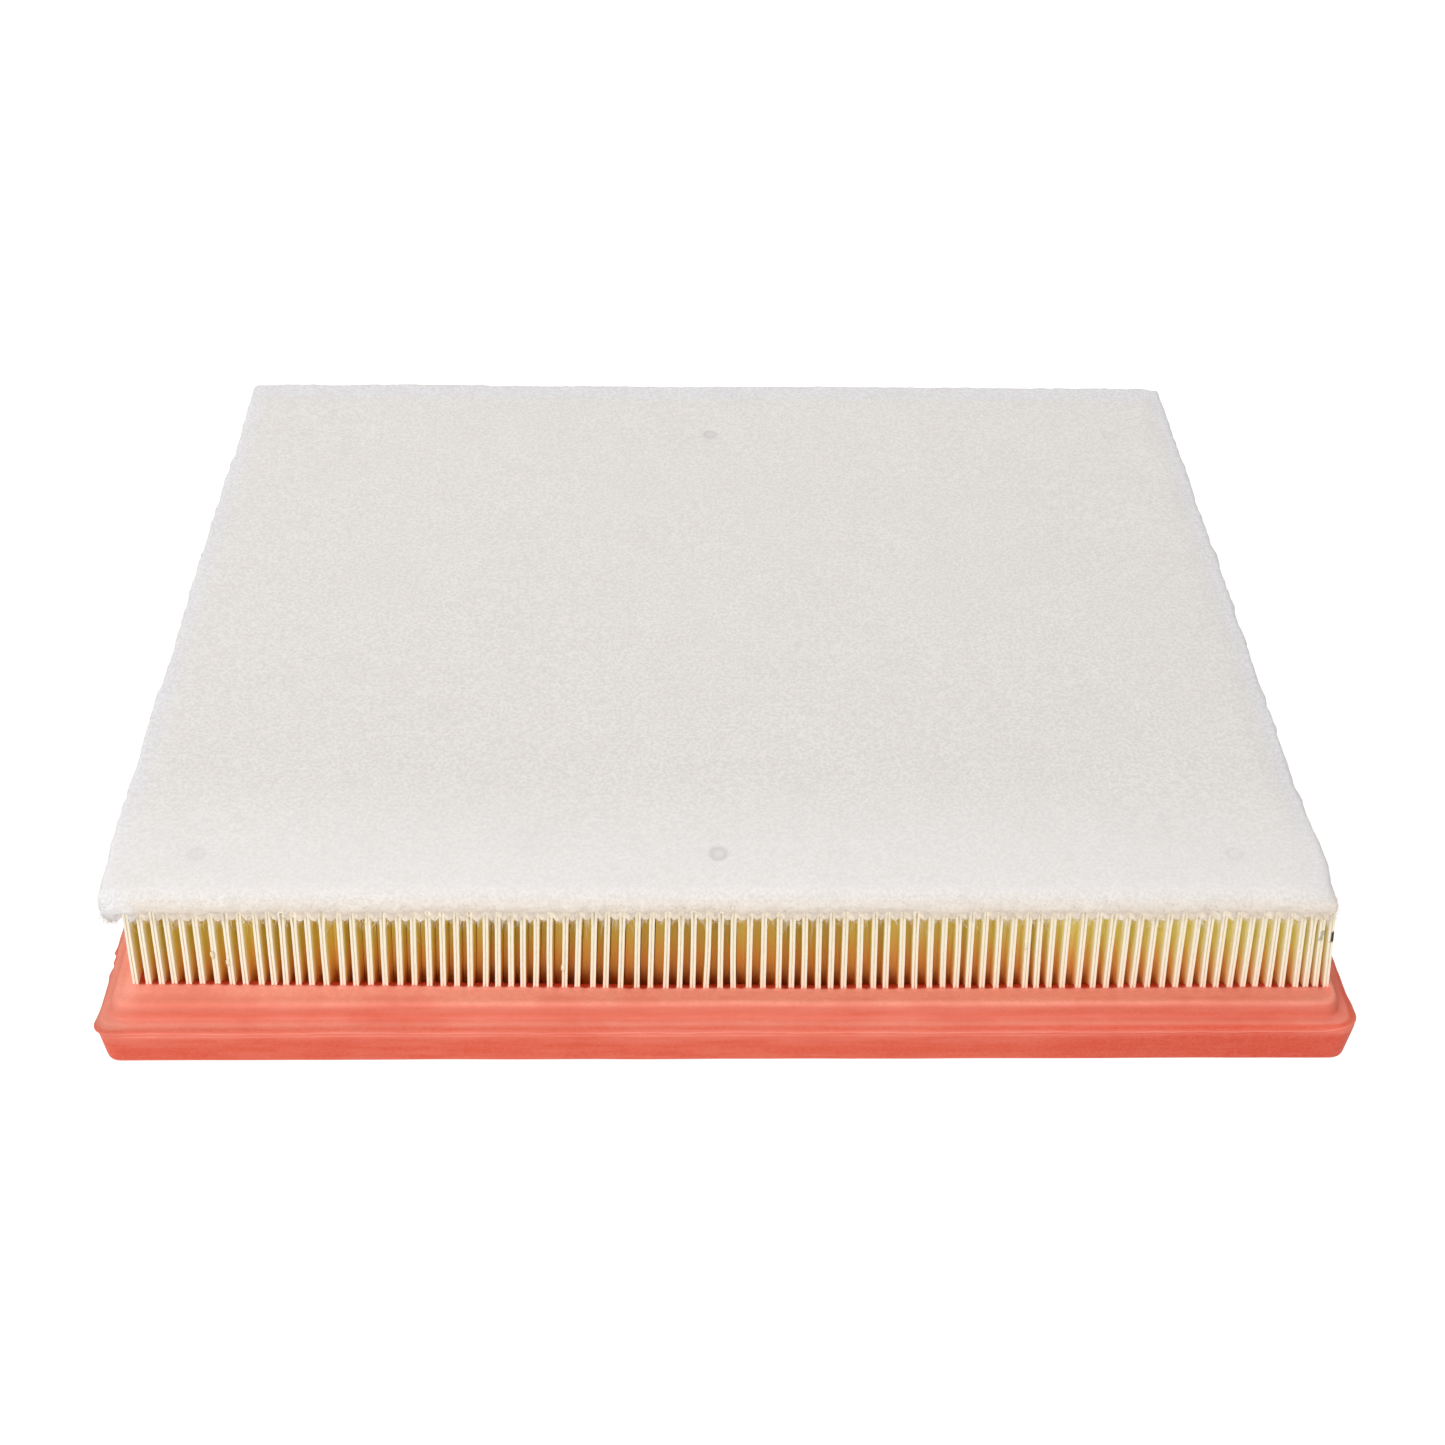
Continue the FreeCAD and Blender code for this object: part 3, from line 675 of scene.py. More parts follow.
def offset_line(line, distance):
    """The line moved sideways by half the paper's thickness, with limited mitres."""
    ahead = np.diff(line, axis=0)
    ahead /= np.linalg.norm(ahead, axis=1)[:, None]
    first = np.vstack([ahead[:1], ahead])
    second = np.vstack([ahead, ahead[-1:]])
    normals = np.stack([-(first + second)[:, 1], (first + second)[:, 0]], 1)
    normals /= np.maximum(np.linalg.norm(normals, axis=1), 1e-6)[:, None]
    side = np.stack([-first[:, 1], first[:, 0]], 1)
    mitre = 1 / np.clip((normals * side).sum(1), 0.6, 1)
    return line + normals * (distance * mitre)[:, None]


def paper_skins():
    """The sheet's upper and lower skins, section by section, with uneven cut ends."""
    random = np.random.default_rng(5)
    jitter = random.normal(0, 1, PLEAT_COUNT)
    ends = random.normal(0, 0.16, (2, PLEAT_COUNT))
    per_pleat = 2 * len(PANEL_SHARES) + 2
    front = [pack_lo[1] + away for away in END_STATIONS]
    rear = [pack_hi[1] - away for away in END_STATIONS]
    stations = front + [0.0] + rear[::-1]
    trimmed = {0: np.abs(ends[0]), len(stations) - 1: -np.abs(ends[1])}
    upper, lower = [], []
    for index, y in enumerate(stations):
        line = section(y, jitter)
        along = y + np.repeat(trimmed.get(index, np.zeros(PLEAT_COUNT)), per_pleat)
        for skin, side in ((upper, 1), (lower, -1)):
            moved = offset_line(line, side * PAPER / 2)
            skin.append(np.stack([moved[:, 0], along, moved[:, 1]], 1))
    return upper, lower


def build_paper(material):
    """One folded sheet with real thickness, its two skins joined along every cut edge."""
    upper, lower = paper_skins()
    rows, columns = len(upper), len(upper[0])
    points = np.concatenate(upper + lower)
    count = rows * columns
    c, r = np.arange(columns - 1), np.arange(rows - 1) * columns
    last = count - columns
    front = np.stack([c, c + 1, c + 1 + count, c + count], 1)
    left = np.stack([r, r + count, r + columns + count, r + columns], 1)
    faces = [grid_faces(rows, columns), grid_faces(rows, columns, start=count)[:, ::-1]]
    faces += [front, front[:, ::-1] + last, left, left[:, ::-1] + columns - 1]
    slot, node = "filter_paper", "pleated_paper"
    faces = np.concatenate(faces)
    piece = add_piece("pleated_paper_sheet", points, faces, material, [node], sharp=50)
    x, y, z = points.T
    from_cut = np.minimum(y - pack_lo[1], pack_hi[1] - y)
    # painted reflection of red light from the foam, strongest near the paper's feet
    soaked = fade(z, SEAL_TOP - 1.0, SEAL_TOP + 7.0)
    # painted shade over the left half of the pack
    set_attributes(piece, from_cut=from_cut, aged=fade(x, 5.0, 100.0), soaked=soaked)


# ---- glue

# pleat and height of the lumps of glue squeezed out between the cut edges
GLUE_LUMPS = ((6, 26.5), (7, 24.0), (31, 22.0), (64, 29.0))
LUMP_SIZE = (0.55, 0.4, 1.2)
LUMP_RINGS, LUMP_SIDES = 6, 8
SEAL_LEVELS = 9
BEAD_SIDES, BEAD_RINGS = 8, 5
BEAD_WAIST = 0.28
BEAD_BITE = 0.35  # how deep a bead's ends lie in the paper, as a share of its thickness
SPOT_SIDES = 24


def tube_strip(sections):
    """A closed strip through sections that each have the same number of points."""
    rows, columns = len(sections), len(sections[0])
    faces = [list(f) for f in grid_faces(rows, columns, close_columns=True)]
    faces.append(list(range(columns))[::-1])
    faces.append([(rows - 1) * columns + c for c in range(columns)])
    return np.concatenate(sections), faces


def add_glue(node, parts, material):
    """One piece from the (points, faces) pairs of its separate drops."""
    points, faces, start = [], [], 0
    for some_points, some_faces in parts:
        points.append(some_points)
        faces.extend([[index + start for index in face] for face in some_faces])
        start += len(some_points)
    return add_piece(f"{node}_glue", np.concatenate(points), faces, material, [node])


def level_loop(radius_x, radius_y, z, sides):
    around = turns(sides)
    return np.stack([radius_x * np.cos(around), radius_y * np.sin(around), np.full(sides, z)], 1)


def lump(centre, seed):
    """A small lump of glue with an uneven surface."""
    sections = []
    for angle in math.pi * (0.06 + 0.88 * np.arange(LUMP_RINGS + 1) / LUMP_RINGS):
        wide = math.sin(angle)
        points = level_loop(wide, wide, math.cos(angle), LUMP_SIDES) * LUMP_SIZE + centre
        lumps = 1 + 0.25 * wobble(points, 0.8, seed)
        sections.append(centre + (points - centre) * lumps[:, None])
    return tube_strip(sections)


def end_seal(node, y_face, inward, material):
    """Glue line inside every pinched pleat, with a few lumps squeezed out between the edges."""
    random = np.random.default_rng(31 if inward > 0 else 32)
    parts = []
    for pleat in range(PLEAT_COUNT):
        near = y_face + inward * (0.3 + 0.25 * random.random())
        far = y_face + inward * (PINCH_LENGTH - 0.5)
        sections = []
        for z in np.linspace(FOLD_Z + 0.6, TIP_Z - 1.2, SEAL_LEVELS):
            x = axis_x(pleat, z, y_face)
            half = max(panel_half(pleat, 1, z, y_face) - PAPER / 2, 0.05) + 0.02
            corners = ((x - half, near), (x + half, near), (x + half, far), (x - half, far))
            sections.append(np.array([(*corner, z) for corner in corners[::inward]]))
        parts.append(tube_strip(sections))
    for pleat, z in GLUE_LUMPS:
        pleat = pleat if inward > 0 else PLEAT_COUNT - 1 - pleat
        centre = (axis_x(pleat, z, y_face) - 0.35, y_face + inward * 0.1, z)
        parts.append(lump(np.array(centre), pleat))
    add_glue(node, parts, material)


def bead_between(ends, z_low, z_high, y, width):
    """One bead that bridges from paper to paper, waisted like a stretched drop."""
    sections = []
    around = turns(BEAD_SIDES)
    for share in np.linspace(0, 1, BEAD_RINGS):
        waist = 1 - BEAD_WAIST * math.sin(math.pi * share)
        up = 0.5 + 0.5 * np.sin(around) * waist
        left, right = (end[0] + (end[1] - end[0]) * up for end in ends)
        along = y + width / 2 * np.cos(around) * waist
        x = left * (1 - share) + right * share
        sections.append(np.stack([x, along, z_low + (z_high - z_low) * up], 1))
    return tube_strip(sections)


def spacer_bead(node, material):
    """A thread of glue laid across the sheet before folding, now a bead in every pleat."""
    low, high = box_mm(node)
    y, width = (low[1] + high[1]) / 2, high[1] - low[1]
    # above, a bead joins two neighbouring pleats; below, the two walls of one
    above = 1 if "top" in node else -1
    random = np.random.default_rng(int(abs(y)) + (100 if above > 0 else 200))

    def wall_x(pleat, side, z):
        return axis_x(pleat, z, y) + side * (panel_half(pleat, side, z, y) + above * PAPER * BEAD_BITE)

    parts = []
    for pleat in range(PLEAT_COUNT - 1 if above > 0 else PLEAT_COUNT):
        heights = (low[2] + random.normal(0, 0.5), high[2] + random.normal(0, 0.25))
        walls = ((pleat, 1), (pleat + 1, -1)) if above > 0 else ((pleat, -1), (pleat, 1))
        ends = [[wall_x(*wall, z) for z in heights] for wall in walls]
        spread = width * (0.9 + 0.3 * random.random())
        parts.append(bead_between(ends, *heights, y + random.normal(0, 0.25), spread))
    add_glue(node, parts, material)


def glue_spot(node, material):
    """A dab of hot melt pressed flat between the pleat tips and the fleece."""
    low, high = box_mm(node)
    centre = (low + high) / 2
    radius = (high[0] - low[0]) / 2
    around = turns(SPOT_SIDES)
    ragged = radius * (1 + 0.12 * np.sin(3 * around + centre[0]) + 0.06 * np.sin(7 * around))
    levels = (low[2] - 0.3, low[2], centre[2], high[2], high[2] + 0.3)
    sections = []
    for share, z in zip((0.6, 0.95, 1.0, 0.9, 0.5), levels):
        loop = level_loop(share * ragged, share * ragged, z, SPOT_SIDES)
        sections.append(loop + (centre[0], centre[1], 0))
    add_glue(node, [tube_strip(sections)], material)


# ---- prefilter pad

PAD_CROWN = 1.3
PAD_SPREAD = 0.5
# how far the top edge's rounding reaches in and down: left and right, front, rear
SIDE_ROUND = (2.0, 2.2)
FRONT_ROUND = (4.5, 2.0)
FRONT_SLOPE = (24.0, 1.3)
REAR_ROUND = (2.0, 2.2)
NEAR_LEFT_CORNER, OTHER_CORNERS = 3.0, 1.2
RIGHT_BULGE = 1.4
END_TUCK = 1.0
# the pad's foot between the pleat tips and on them: how far it is set back and raised
FOOT_HEIGHTS = (1.6, 3.6)
FOOT_RECESS = (0.6, 2.0)
FOOT_LIFT = (-0.1, 0.1)
LEFT_SAG = 0.2
RIGHT_PRESS = 0.8
BOND_DEPTH, BOND_WIDTH = 0.35, 2.6
SIDE_BOND_DEPTH_SHARE = 0.4
EDGE_STEPS = (0.0, 0.25, 0.6, 1.0, 1.5, 2.1, 2.8, 3.6, 4.6, 6.0)
HEIGHT_STEPS = (0.0, 0.4, 1.0, 1.7, 2.5, 3.4, 4.4, 5.4, 6.4, 7.2, 7.9)
FINE_STEPS = (0.85, 2.1)
SIM_EDGE_STEPS = (0.0, 2.5, 5.0)
SIM_HEIGHT_STEPS = (0.0, 2.6, 5.3, 7.9)
SIM_STEP = 5.0
SIM_FRAMES = 20
SIM_SHARE = 0.25  # how much of the simulated unevenness is kept
CLOTH = {
    "quality": 6,
    "mass": 0.1,
    "tension_stiffness": 20,
    "compression_stiffness": 20,
    "bending_stiffness": 6,
    "use_pressure": True,
    "uniform_pressure_force": 4,
    "vertex_group_mass": "held",
}


def graded(length, step, edges):
    middle_length = length - 2 * edges[-1]
    count = max(int(round(middle_length / step)), 1)
    middle = edges[-1] + middle_length * np.arange(1, count) / count
    return np.array([*edges, *middle, *(length - e for e in reversed(edges))])


class PadLattice:
    """The skin of a box-shaped lattice, with its square and its rounded positions."""

    def __init__(self, steps, edges, heights):
        self.start = pad_lo - np.array([PAD_SPREAD, PAD_SPREAD, 0])
        self.size = pad_hi - pad_lo + np.array([2 * PAD_SPREAD, 2 * PAD_SPREAD, -PAD_CROWN])
        self.axes = [graded(self.size[a], steps[a], edges) for a in (0, 1)]
        self.axes.append(np.array(heights) / heights[-1] * self.size[2])
        self.counts = [len(a) for a in self.axes]
        cells = np.stack(np.meshgrid(*[np.arange(c) for c in self.counts], indexing="ij"), 3)
        on_skin = ((cells == 0) | (cells == np.array(self.counts) - 1)).any(3)
        self.index = -np.ones(self.counts, int)
        self.index[on_skin] = np.arange(on_skin.sum())
        self.cells = cells[on_skin]
        self.square = np.stack([self.axes[a][self.cells[:, a]] for a in range(3)], 1)
        self.height_share = self.square[:, 2] / self.size[2]
        # distance from the nearer of the two sides across each level axis
        self.from_side = np.minimum(self.square, self.size - self.square)[:, :2]
        self.round = self.rounded(self.square)

    def ends(self, axis):
        """How far each point is from both ends of an axis, with the outward sign."""
        for end, sign in ((0.0, -1), (self.size[axis], 1)):
            yield np.abs(self.square[:, axis] - end), sign

    def rounded(self, p):
        """Square positions with a rolled top edge and eased corners."""
        x, y, z = p.T
        width, depth = self.size[:2]
        edges = ((x, SIDE_ROUND), (width - x, SIDE_ROUND), (y, FRONT_ROUND), (depth - y, REAR_ROUND))
        total = np.zeros(len(p))
        for away, (reach, drop) in edges:
            short = np.clip(1 - away / reach, 0, 1)
            total += (drop * (1 - np.sqrt(1 - short ** 2))) ** 3
        reach, drop = FRONT_SLOPE
        dropped = total ** (1 / 3) + drop * np.clip(1 - y / reach, 0, 1) ** 2
        made = p.copy()
        made[:, 2] = z * (1 - dropped / self.size[2])
        near_left = (y < depth / 2) & (x < width / 2)
        radius = np.where(near_left, NEAR_LEFT_CORNER, OTHER_CORNERS)[:, None]
        inner = np.clip(p[:, :2], radius, self.size[:2] - radius)
        out = p[:, :2] - inner
        length = np.linalg.norm(out, axis=1)
        biggest = np.abs(out).max(1)
        eased = np.where(length > 1e-9, biggest / np.maximum(length, 1e-9), 1)
        made[:, :2] = inner + out * eased[:, None]
        made[:, 0] += RIGHT_BULGE * smoothstep(x, width - 14, width) * fade(y, 6, 48)
        # the cut ends turn under a little
        tucked = END_TUCK * np.clip(1 - z / 3.5, 0, 1) ** 2
        made[:, 0] += tucked * (fade(x, 0, 5) - smoothstep(x, width - 5, width))
        return made

    def faces(self):
        n = self.index
        sheets = (n[:, :, -1], n[:, :, 0], n[:, 0], n[:, -1], n[0], n[-1])
        quads = []
        for sheet, order in zip(sheets, (1, -1, 1, -1, -1, 1)):
            corners = (sheet[:-1, :-1], sheet[1:, :-1], sheet[1:, 1:], sheet[:-1, 1:])
            quads.append(np.stack([c.ravel() for c in corners], 1)[:, ::order])
        return np.concatenate(quads)

    def resample(self, values, fine):
        """Values given at this lattice's points, read between them at the points of a finer one."""
        volume = np.zeros((*self.counts, 3))
        volume[tuple(self.cells.T)] = values
        for a, (grid, count) in enumerate(zip(self.axes, self.counts)):
            weights = np.array([np.interp(fine.axes[a], grid, hat) for hat in np.eye(count)])
            volume = np.moveaxis(np.tensordot(volume, weights, (a, 0)), -1, a)
        return volume[tuple(fine.cells.T)]


def bond_places():
    """Where glue holds the pad, in the pad's own lattice coordinates."""
    boxes = [box_mm(node) for node in SPOT_NODES]
    return np.array([((low + high) / 2 - pad_lo)[:2] + PAD_SPREAD for low, high in boxes])


def inflate(coarse):
    """Swells the pad with a cloth simulation, held underneath and where it is glued."""
    start = coarse.round
    trial = make_object("pad_simulation", make_mesh("pad_simulation", start, coarse.faces()))
    glued = start[:, 2] < 0.4
    for place in bond_places():
        glued |= np.hypot(*(start[:, :2] - place).T) < 0.6 * SIM_STEP
    held = trial.vertex_groups.new(name="held")
    held.add([int(v) for v in np.where(glued)[0]], 1.0, "REPLACE")
    cloth = trial.modifiers.new("cloth", "CLOTH")
    for name, value in CLOTH.items():
        setattr(cloth.settings, name, value)
    cloth.settings.effector_weights.gravity = 0
    cloth.point_cache.frame_start = 1
    cloth.point_cache.frame_end = SIM_FRAMES
    for number in range(1, SIM_FRAMES + 1):
        bpy.context.scene.frame_set(number)
    evaluated = trial.evaluated_get(bpy.context.evaluated_depsgraph_get())
    moved = np.zeros(len(start) * 3)
    evaluated.data.vertices.foreach_get("co", moved)
    moved = moved.reshape(-1, 3) / MM - start
    bpy.context.scene.frame_set(1)
    bpy.data.objects.remove(trial)
    size = np.linalg.norm(moved, axis=1)
    capped = PAD_CROWN * np.tanh(size / PAD_CROWN)
    return moved * (capped / np.maximum(size, 1e-9))[:, None]


def swelling(fine):
    """How far the pad swells at each point of the fine lattice: its crown, made uneven."""
    coarse = PadLattice((SIM_STEP, SIM_STEP), SIM_EDGE_STEPS, SIM_HEIGHT_STEPS)
    lift = np.zeros((len(coarse.round), 3))
    on_top = coarse.round[:, 2] > 5
    lift[:, 2] = PAD_CROWN * on_top
    swollen = inflate(coarse)
    outward = np.sign(coarse.square - coarse.size / 2)[:, :2]
    sideways = swollen[:, :2]
    lift[:, :2] = SIM_SHARE * np.where(sideways * outward > 0, sideways, 0)
    lift[:, 2] += SIM_SHARE * on_top * (swollen[:, 2] - np.median(swollen[on_top, 2]))
    return coarse.resample(lift, fine)


def cut_edges(points, lattice):
    """Knife-cut sides that wander, with small tufts."""
    world = points + lattice.start
    for a in (0, 1):
        for away, sign in lattice.ends(a):
            near = fade(away, 0.0, 6.0)
            line = world.copy()
            line[:, a] = 50.0 * sign
            slow = 0.35 * wobble(line, 30, 11 + a + sign) + 0.2 * wobble(line, 9, 17 + a + sign)
            tufts = 0.45 * wobble(world, 3.0, 14 + a + sign, 3)
            points[:, a] += near * slow + near ** 2 * tufts


def felt_surface(points, lattice):
    """The loose surface: slow waves, lumps and a finer tangle."""
    world = points + lattice.start
    felt = 0.2 * wobble(world, 28, 21) + 0.07 * wobble(world, 7, 22) + 0.1 * wobble(world, 2.2, 23, 3)
    points[:, 2] += lattice.height_share * felt
    for a in (0, 1):
        for away, sign in lattice.ends(a):
            points[:, a] += np.where(away < 0.01, sign * felt * 0.9, 0)


def on_tips(x):
    """1 over a pleat tip, falling to 0 half way to the next."""
    near = np.cos(math.pi * np.interp(x, TIPS, np.arange(PLEAT_COUNT))) ** 2
    return near * (x > TIPS[0] - 1.2) * (x < TIPS[-1] + 1.2)


def part_round_tips(points, lattice):
    """The front and rear faces lie behind the pleat tips and sag between them."""
    on_tip = on_tips(points[:, 0] + lattice.start[0])
    low = fade(points[:, 2], *FOOT_HEIGHTS)
    (from_front, _), (from_rear, _) = lattice.ends(1)
    at_front, at_rear = fade(from_front, 0.0, 4.0), fade(from_rear, 0.0, 4.0)
    recess, lift = (a + (b - a) * on_tip for a, b in (FOOT_RECESS, FOOT_LIFT))
    points[:, 1] += recess * low * (at_front - at_rear)
    points[:, 2] += lift * low * (at_front + at_rear)


def press_pad(points, lattice):
    """A dimple over each dab of glue, a sagging left overhang, and a pressed right-hand end."""
    for node, place in zip(SPOT_NODES, bond_places()):
        away = np.hypot(*(points[:, :2] - place).T)
        deep = 1.0 if "middle" in node else SIDE_BOND_DEPTH_SHARE
        points[:, 2] -= BOND_DEPTH * deep * lattice.height_share * bell(away, 0.0, BOND_WIDTH)
    (from_left, _), (from_right, _) = lattice.ends(0)
    points[:, 2] -= LEFT_SAG * fade(from_left, 0.0, 9.0)
    points[:, 2] -= RIGHT_PRESS * fade(from_right, 0.0, 9.0) * lattice.height_share


def above_paper(x):
    return fade(np.abs(x - FEET.mean()), 134.0, 137.0)


def tint_pad(piece, points, lattice):
    """Cool past the paper, with a painted highlight on the front crest and painted warm light where
    the paper shines through.
    """
    x, y, z = points.T
    outside = np.maximum(FEET[0] + 1.5 - x, x - FEET[-1] + 10.0)
    outside = np.maximum(outside, lattice.square[:, 1] - lattice.size[1] + 10.0)
    overhang = smoothstep(outside, -2.0, 4.0)
    lit_through = fade(lattice.from_side[:, 1], 2.0, 8.0) * above_paper(x)
    # painted light: warm where the paper shines through the low faces, brightest at the bottom,
    # lifting their shade
    golden = fade(z, pad_lo[2] + 3.5, pad_lo[2] + 8.0) * lit_through
    amber = 0.9 * fade(z, pad_lo[2] + 0.5, pad_lo[2] + 3.5) * lit_through
    from_front = y - pad_lo[1]
    # painted highlight: the top made paler just behind its front edge
    crest = 0.45 * smoothstep(from_front, 0.5, 3.0) * fade(from_front, 10.0, 45.0)
    crest *= lattice.height_share
    set_attributes(piece, overhang=overhang, golden=golden, amber=amber, crest=crest)


def build_pad(material):
    lattice = PadLattice(FINE_STEPS, EDGE_STEPS, HEIGHT_STEPS)
    points = lattice.round + swelling(lattice)
    for shape in (cut_edges, felt_surface, part_round_tips, press_pad):
        shape(points, lattice)
    points += lattice.start
    node = "prefilter_pad"
    piece = add_piece("prefilter_fleece", points, lattice.faces(), material, [node])
    tint_pad(piece, points, lattice)
    # fleece lets most light through, so it neither shades nor tints what lies round it
    piece.visible_shadow = False
    piece.visible_diffuse = False
    return points, lattice


# ---- loose fibres of the pad

FIBRE_SEGMENTS = 4
FIBRE_SIDES = 3
FIBRE_RADIUS = 0.045
ROOT_SPREAD = 0.3
PRESSED_FIBRES = 0.55  # how much sparser the fringe is on the pleat tips than between them
FRINGE = "prefilter_fringe"


def fibres(roots, directions, lengths, seed):
    """Thin hairs that start inside the pad, curl and come to a point."""
    random = np.random.default_rng(seed)
    count = len(roots)
    directions = directions / np.linalg.norm(directions, axis=1)[:, None]
    curl = random.normal(0, 0.55, (count, 3))
    second = random.normal(0, 0.35, (count, 3))
    side = np.cross(directions, random.normal(0, 1, (count, 3)))
    side /= np.linalg.norm(side, axis=1)[:, None]
    other = np.cross(directions, side)
    rings = []
    for step in range(FIBRE_SEGMENTS):
        t = step / FIBRE_SEGMENTS
        middle = roots + lengths[:, None] * (directions * t + curl * t * t + second * t ** 3)
        thick = FIBRE_RADIUS * (1 - 0.5 * t)
        for angle in turns(FIBRE_SIDES):
            rings.append(middle + thick * (side * math.cos(angle) + other * math.sin(angle)))
    ends = roots + lengths[:, None] * (directions + curl + second)
    points = np.stack(rings + [ends], 1)
    per = points.shape[1]
    pattern = [[2, 1, 0]]
    for here in range(per - 1):
        ahead = here - here % FIBRE_SIDES + (here + 1) % FIBRE_SIDES
        if here < per - 1 - FIBRE_SIDES:
            pattern.append([here, ahead, ahead + FIBRE_SIDES, here + FIBRE_SIDES])
        else:
            pattern.append([here, ahead, per - 1])
    starts = range(0, count * per, per)
    return points.reshape(-1, 3), [[start + v for v in face] for start in starts for face in pattern]


def build_fibres(material, pad_points, lattice):
    """Fuzz on the cut sides and sparsely on top, and a fringe that hangs over the pleat tips."""
    random = np.random.default_rng(404)
    high = lattice.height_share
    at_side = lattice.from_side < 0.3
    at_left_right, at_front_rear = at_side.T
    on_edge = at_left_right | (at_front_rear & (high >= 0.55))
    # where each group grows, its count, mean length, outward reach in x and y, and upward lift
    groups = {
        FRINGE: (at_front_rear & (high < 0.5), 7600, 1.5, (0.5, 0.45), -0.5),
        "prefilter_edge_fuzz": (on_edge, 4200, 1.3, (0.9, 0.9), 0.12),
        "prefilter_top_fuzz": ((high > 0.99) & ~at_side.any(1), 2600, 1.0, (0.0, 0.0), 0.5),
    }
    for name, (where, count, length, reach, lift) in groups.items():
        candidates = np.where(where)[0]
        pressed = on_tips(pad_points[candidates, 0]) * (name == FRINGE)
        chance = 1 - PRESSED_FIBRES * pressed
        picked = random.choice(candidates, count, p=chance / chance.sum())
        outward = np.full((count, 3), lift)
        sides = np.sign(lattice.square[picked] / lattice.size - 0.5)[:, :2]
        outward[:, :2] = sides * at_side[picked] * reach
        directions = outward + random.normal(0, 0.6, (count, 3))
        lengths = length * random.gamma(3.0, 1 / 3.0, count)
        roots = pad_points[picked] + random.normal(0, ROOT_SPREAD, (count, 3)) - 0.3 * outward
        points, faces = fibres(roots, directions, lengths, count)
        points[:, 2] = np.clip(points[:, 2], pack_hi[2] - 2.0, pad_hi[2] + 1.0)
        piece = add_piece(name, points, faces, material)
        piece.visible_shadow = False
        x, _, z = points.T
        # painted warm light from the paper below, on the fringe and the lowest fibres
        golden = fade(z, pad_lo[2] + 3.0, pad_lo[2] + 7.0) * above_paper(x) * (name == FRINGE)
        amber = 0.8 * fade(z, pad_lo[2] - 0.5, pad_lo[2] + 1.5) * above_paper(x)
        set_attributes(piece, golden=golden, amber=amber)


# ---- stage, light and camera

FLOOR_Z = -0.05
FLOOR_HALF, FLOOR_TICKS = 3000.0, 13
BACKDROP_RADIUS, BACKDROP_HEIGHT, BACKDROP_SIDES = 2900.0, 3500.0, 72
WORLD_STRENGTH = 0.57
# place, width, depth and power of each softbox, in metres and watts
SOFTBOXES = {
    "key": ((-0.65, -0.2, 1.15), 1.0, 1.0, 4),
    "front": ((-0.38, -1.35, 0.5), 1.5, 0.8, 10.4),
    "back": ((0.0, 1.1, 0.95), 1.8, 0.7, 3.5),
}
LIGHT_TARGET = (0, 0, 0.02)
BOUNCE_LIMITS = ("max_bounces", "diffuse_bounces", "transmission_bounces")
LIGHT_BOUNCES = 16
CAMERA_PLACE = (-11.26, -422.77, 364.17)
CAMERA_PITCH = 40.34
CAMERA_YAW = 1.60
CAMERA_ROLL = 1.10
CAMERA_LENS = 49.83
SENSOR_WIDTH = 36.0


def add_staging(name, points, faces, material):
    mesh = make_mesh(name, points, faces)
    mesh.materials.append(material)
    staging = make_object(name, mesh)
    staging.visible_diffuse = False
    return staging


def add_floor(material):
    ticks = np.linspace(-FLOOR_HALF, FLOOR_HALF, FLOOR_TICKS)
    points = [(x, y, FLOOR_Z) for x in ticks for y in ticks]
    add_staging("floor", points, grid_faces(FLOOR_TICKS, FLOOR_TICKS), material)


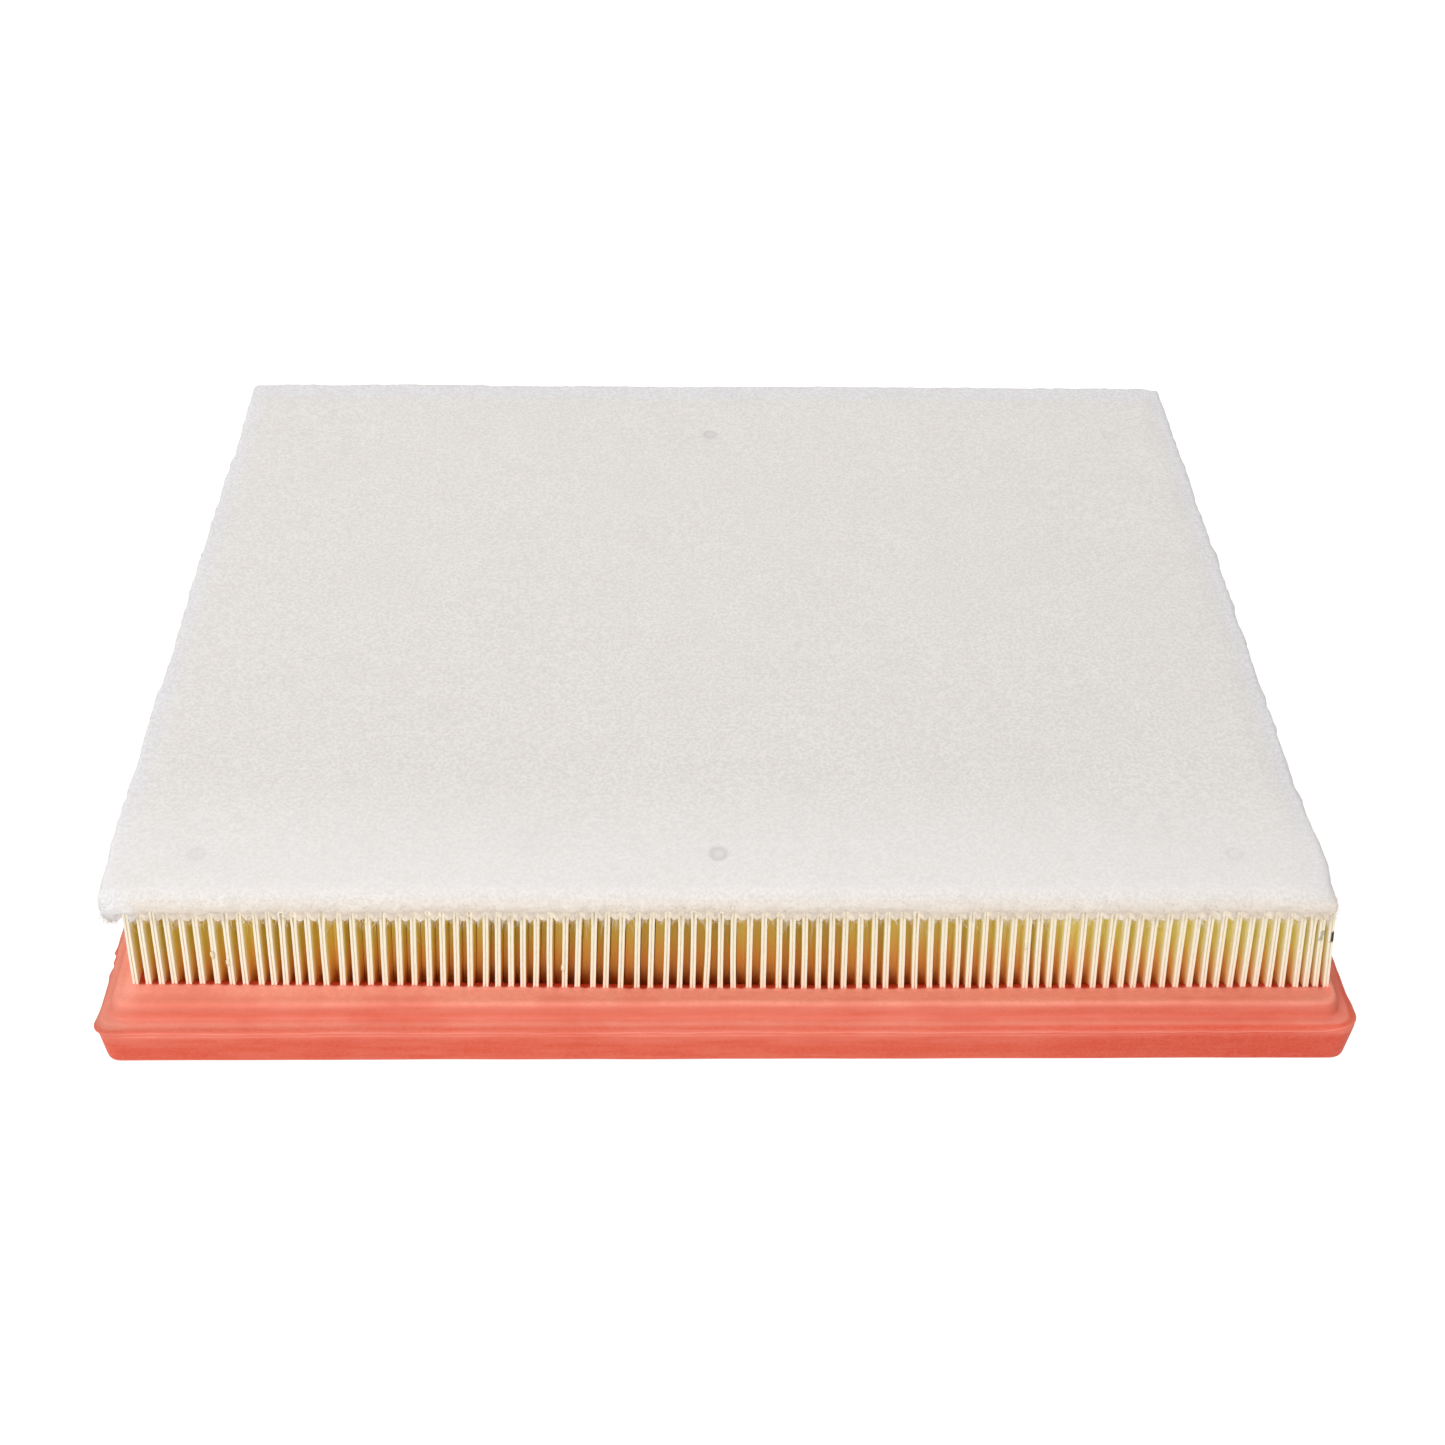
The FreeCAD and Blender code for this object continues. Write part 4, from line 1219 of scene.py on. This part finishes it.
def add_backdrop(material):
    """A tall white screen all round, far outside the lights, that only the camera sees."""
    points = []
    for z in (FLOOR_Z, BACKDROP_HEIGHT / 2, BACKDROP_HEIGHT):
        for angle in turns(BACKDROP_SIDES):
            points.append((BACKDROP_RADIUS * math.cos(angle), BACKDROP_RADIUS * math.sin(angle), z))
    faces = grid_faces(3, BACKDROP_SIDES, close_columns=True)
    screen = add_staging("backdrop", points, faces, material)
    screen.visible_glossy = False
    screen.visible_shadow = False


def add_light():
    world = bpy.data.worlds.new("studio")
    bpy.context.scene.world = world
    world.use_nodes = True
    background = world.node_tree.nodes["Background"]
    background.inputs["Color"].default_value = rgb(1, 1, 1)
    background.inputs["Strength"].default_value = WORLD_STRENGTH
    for name, (place, width, depth, watts) in SOFTBOXES.items():
        data = bpy.data.lights.new(name, "AREA")
        data.shape = "RECTANGLE"
        data.size, data.size_y = width, depth
        data.energy = watts
        light = make_object(name, data)
        light.location = place
        aim = Vector(LIGHT_TARGET) - Vector(place)
        light.rotation_euler = aim.to_track_quat("-Z", "Y").to_euler()


def add_camera():
    data = bpy.data.cameras.new("camera")
    data.sensor_width = SENSOR_WIDTH
    data.lens = CAMERA_LENS
    data.clip_start, data.clip_end = 0.01, 20.0
    camera = make_object("camera", data)
    camera.matrix_world = Matrix.Translation(Vector(CAMERA_PLACE) * MM)
    for degrees, axis in ((-CAMERA_YAW, "Z"), (90 - CAMERA_PITCH, "X"), (CAMERA_ROLL, "Z")):
        turn = Matrix.Rotation(math.radians(degrees), 4, axis)
        camera.matrix_world = camera.matrix_world @ turn
    bpy.context.scene.camera = camera


# ---- assembly


def main():
    glue = hot_melt()
    fleece_skin = fleece()
    build_frame(polyurethane())
    build_paper(paper())
    end_seal("end_seal_front", pack_lo[1], 1, glue)
    end_seal("end_seal_rear", pack_hi[1], -1, glue)
    for node in BEAD_NODES:
        spacer_bead(node, glue)
    for node in SPOT_NODES:
        glue_spot(node, glue)
    pad_points, lattice = build_pad(fleece_skin)
    build_fibres(fleece_skin, pad_points, lattice)
    sweep = floor_paper()
    add_floor(sweep)
    add_backdrop(sweep)
    add_light()
    add_camera()
    bpy.context.scene.view_settings.view_transform = "Standard"
    for limit in BOUNCE_LIMITS:
        setattr(bpy.context.scene.cycles, limit, LIGHT_BOUNCES)


main()
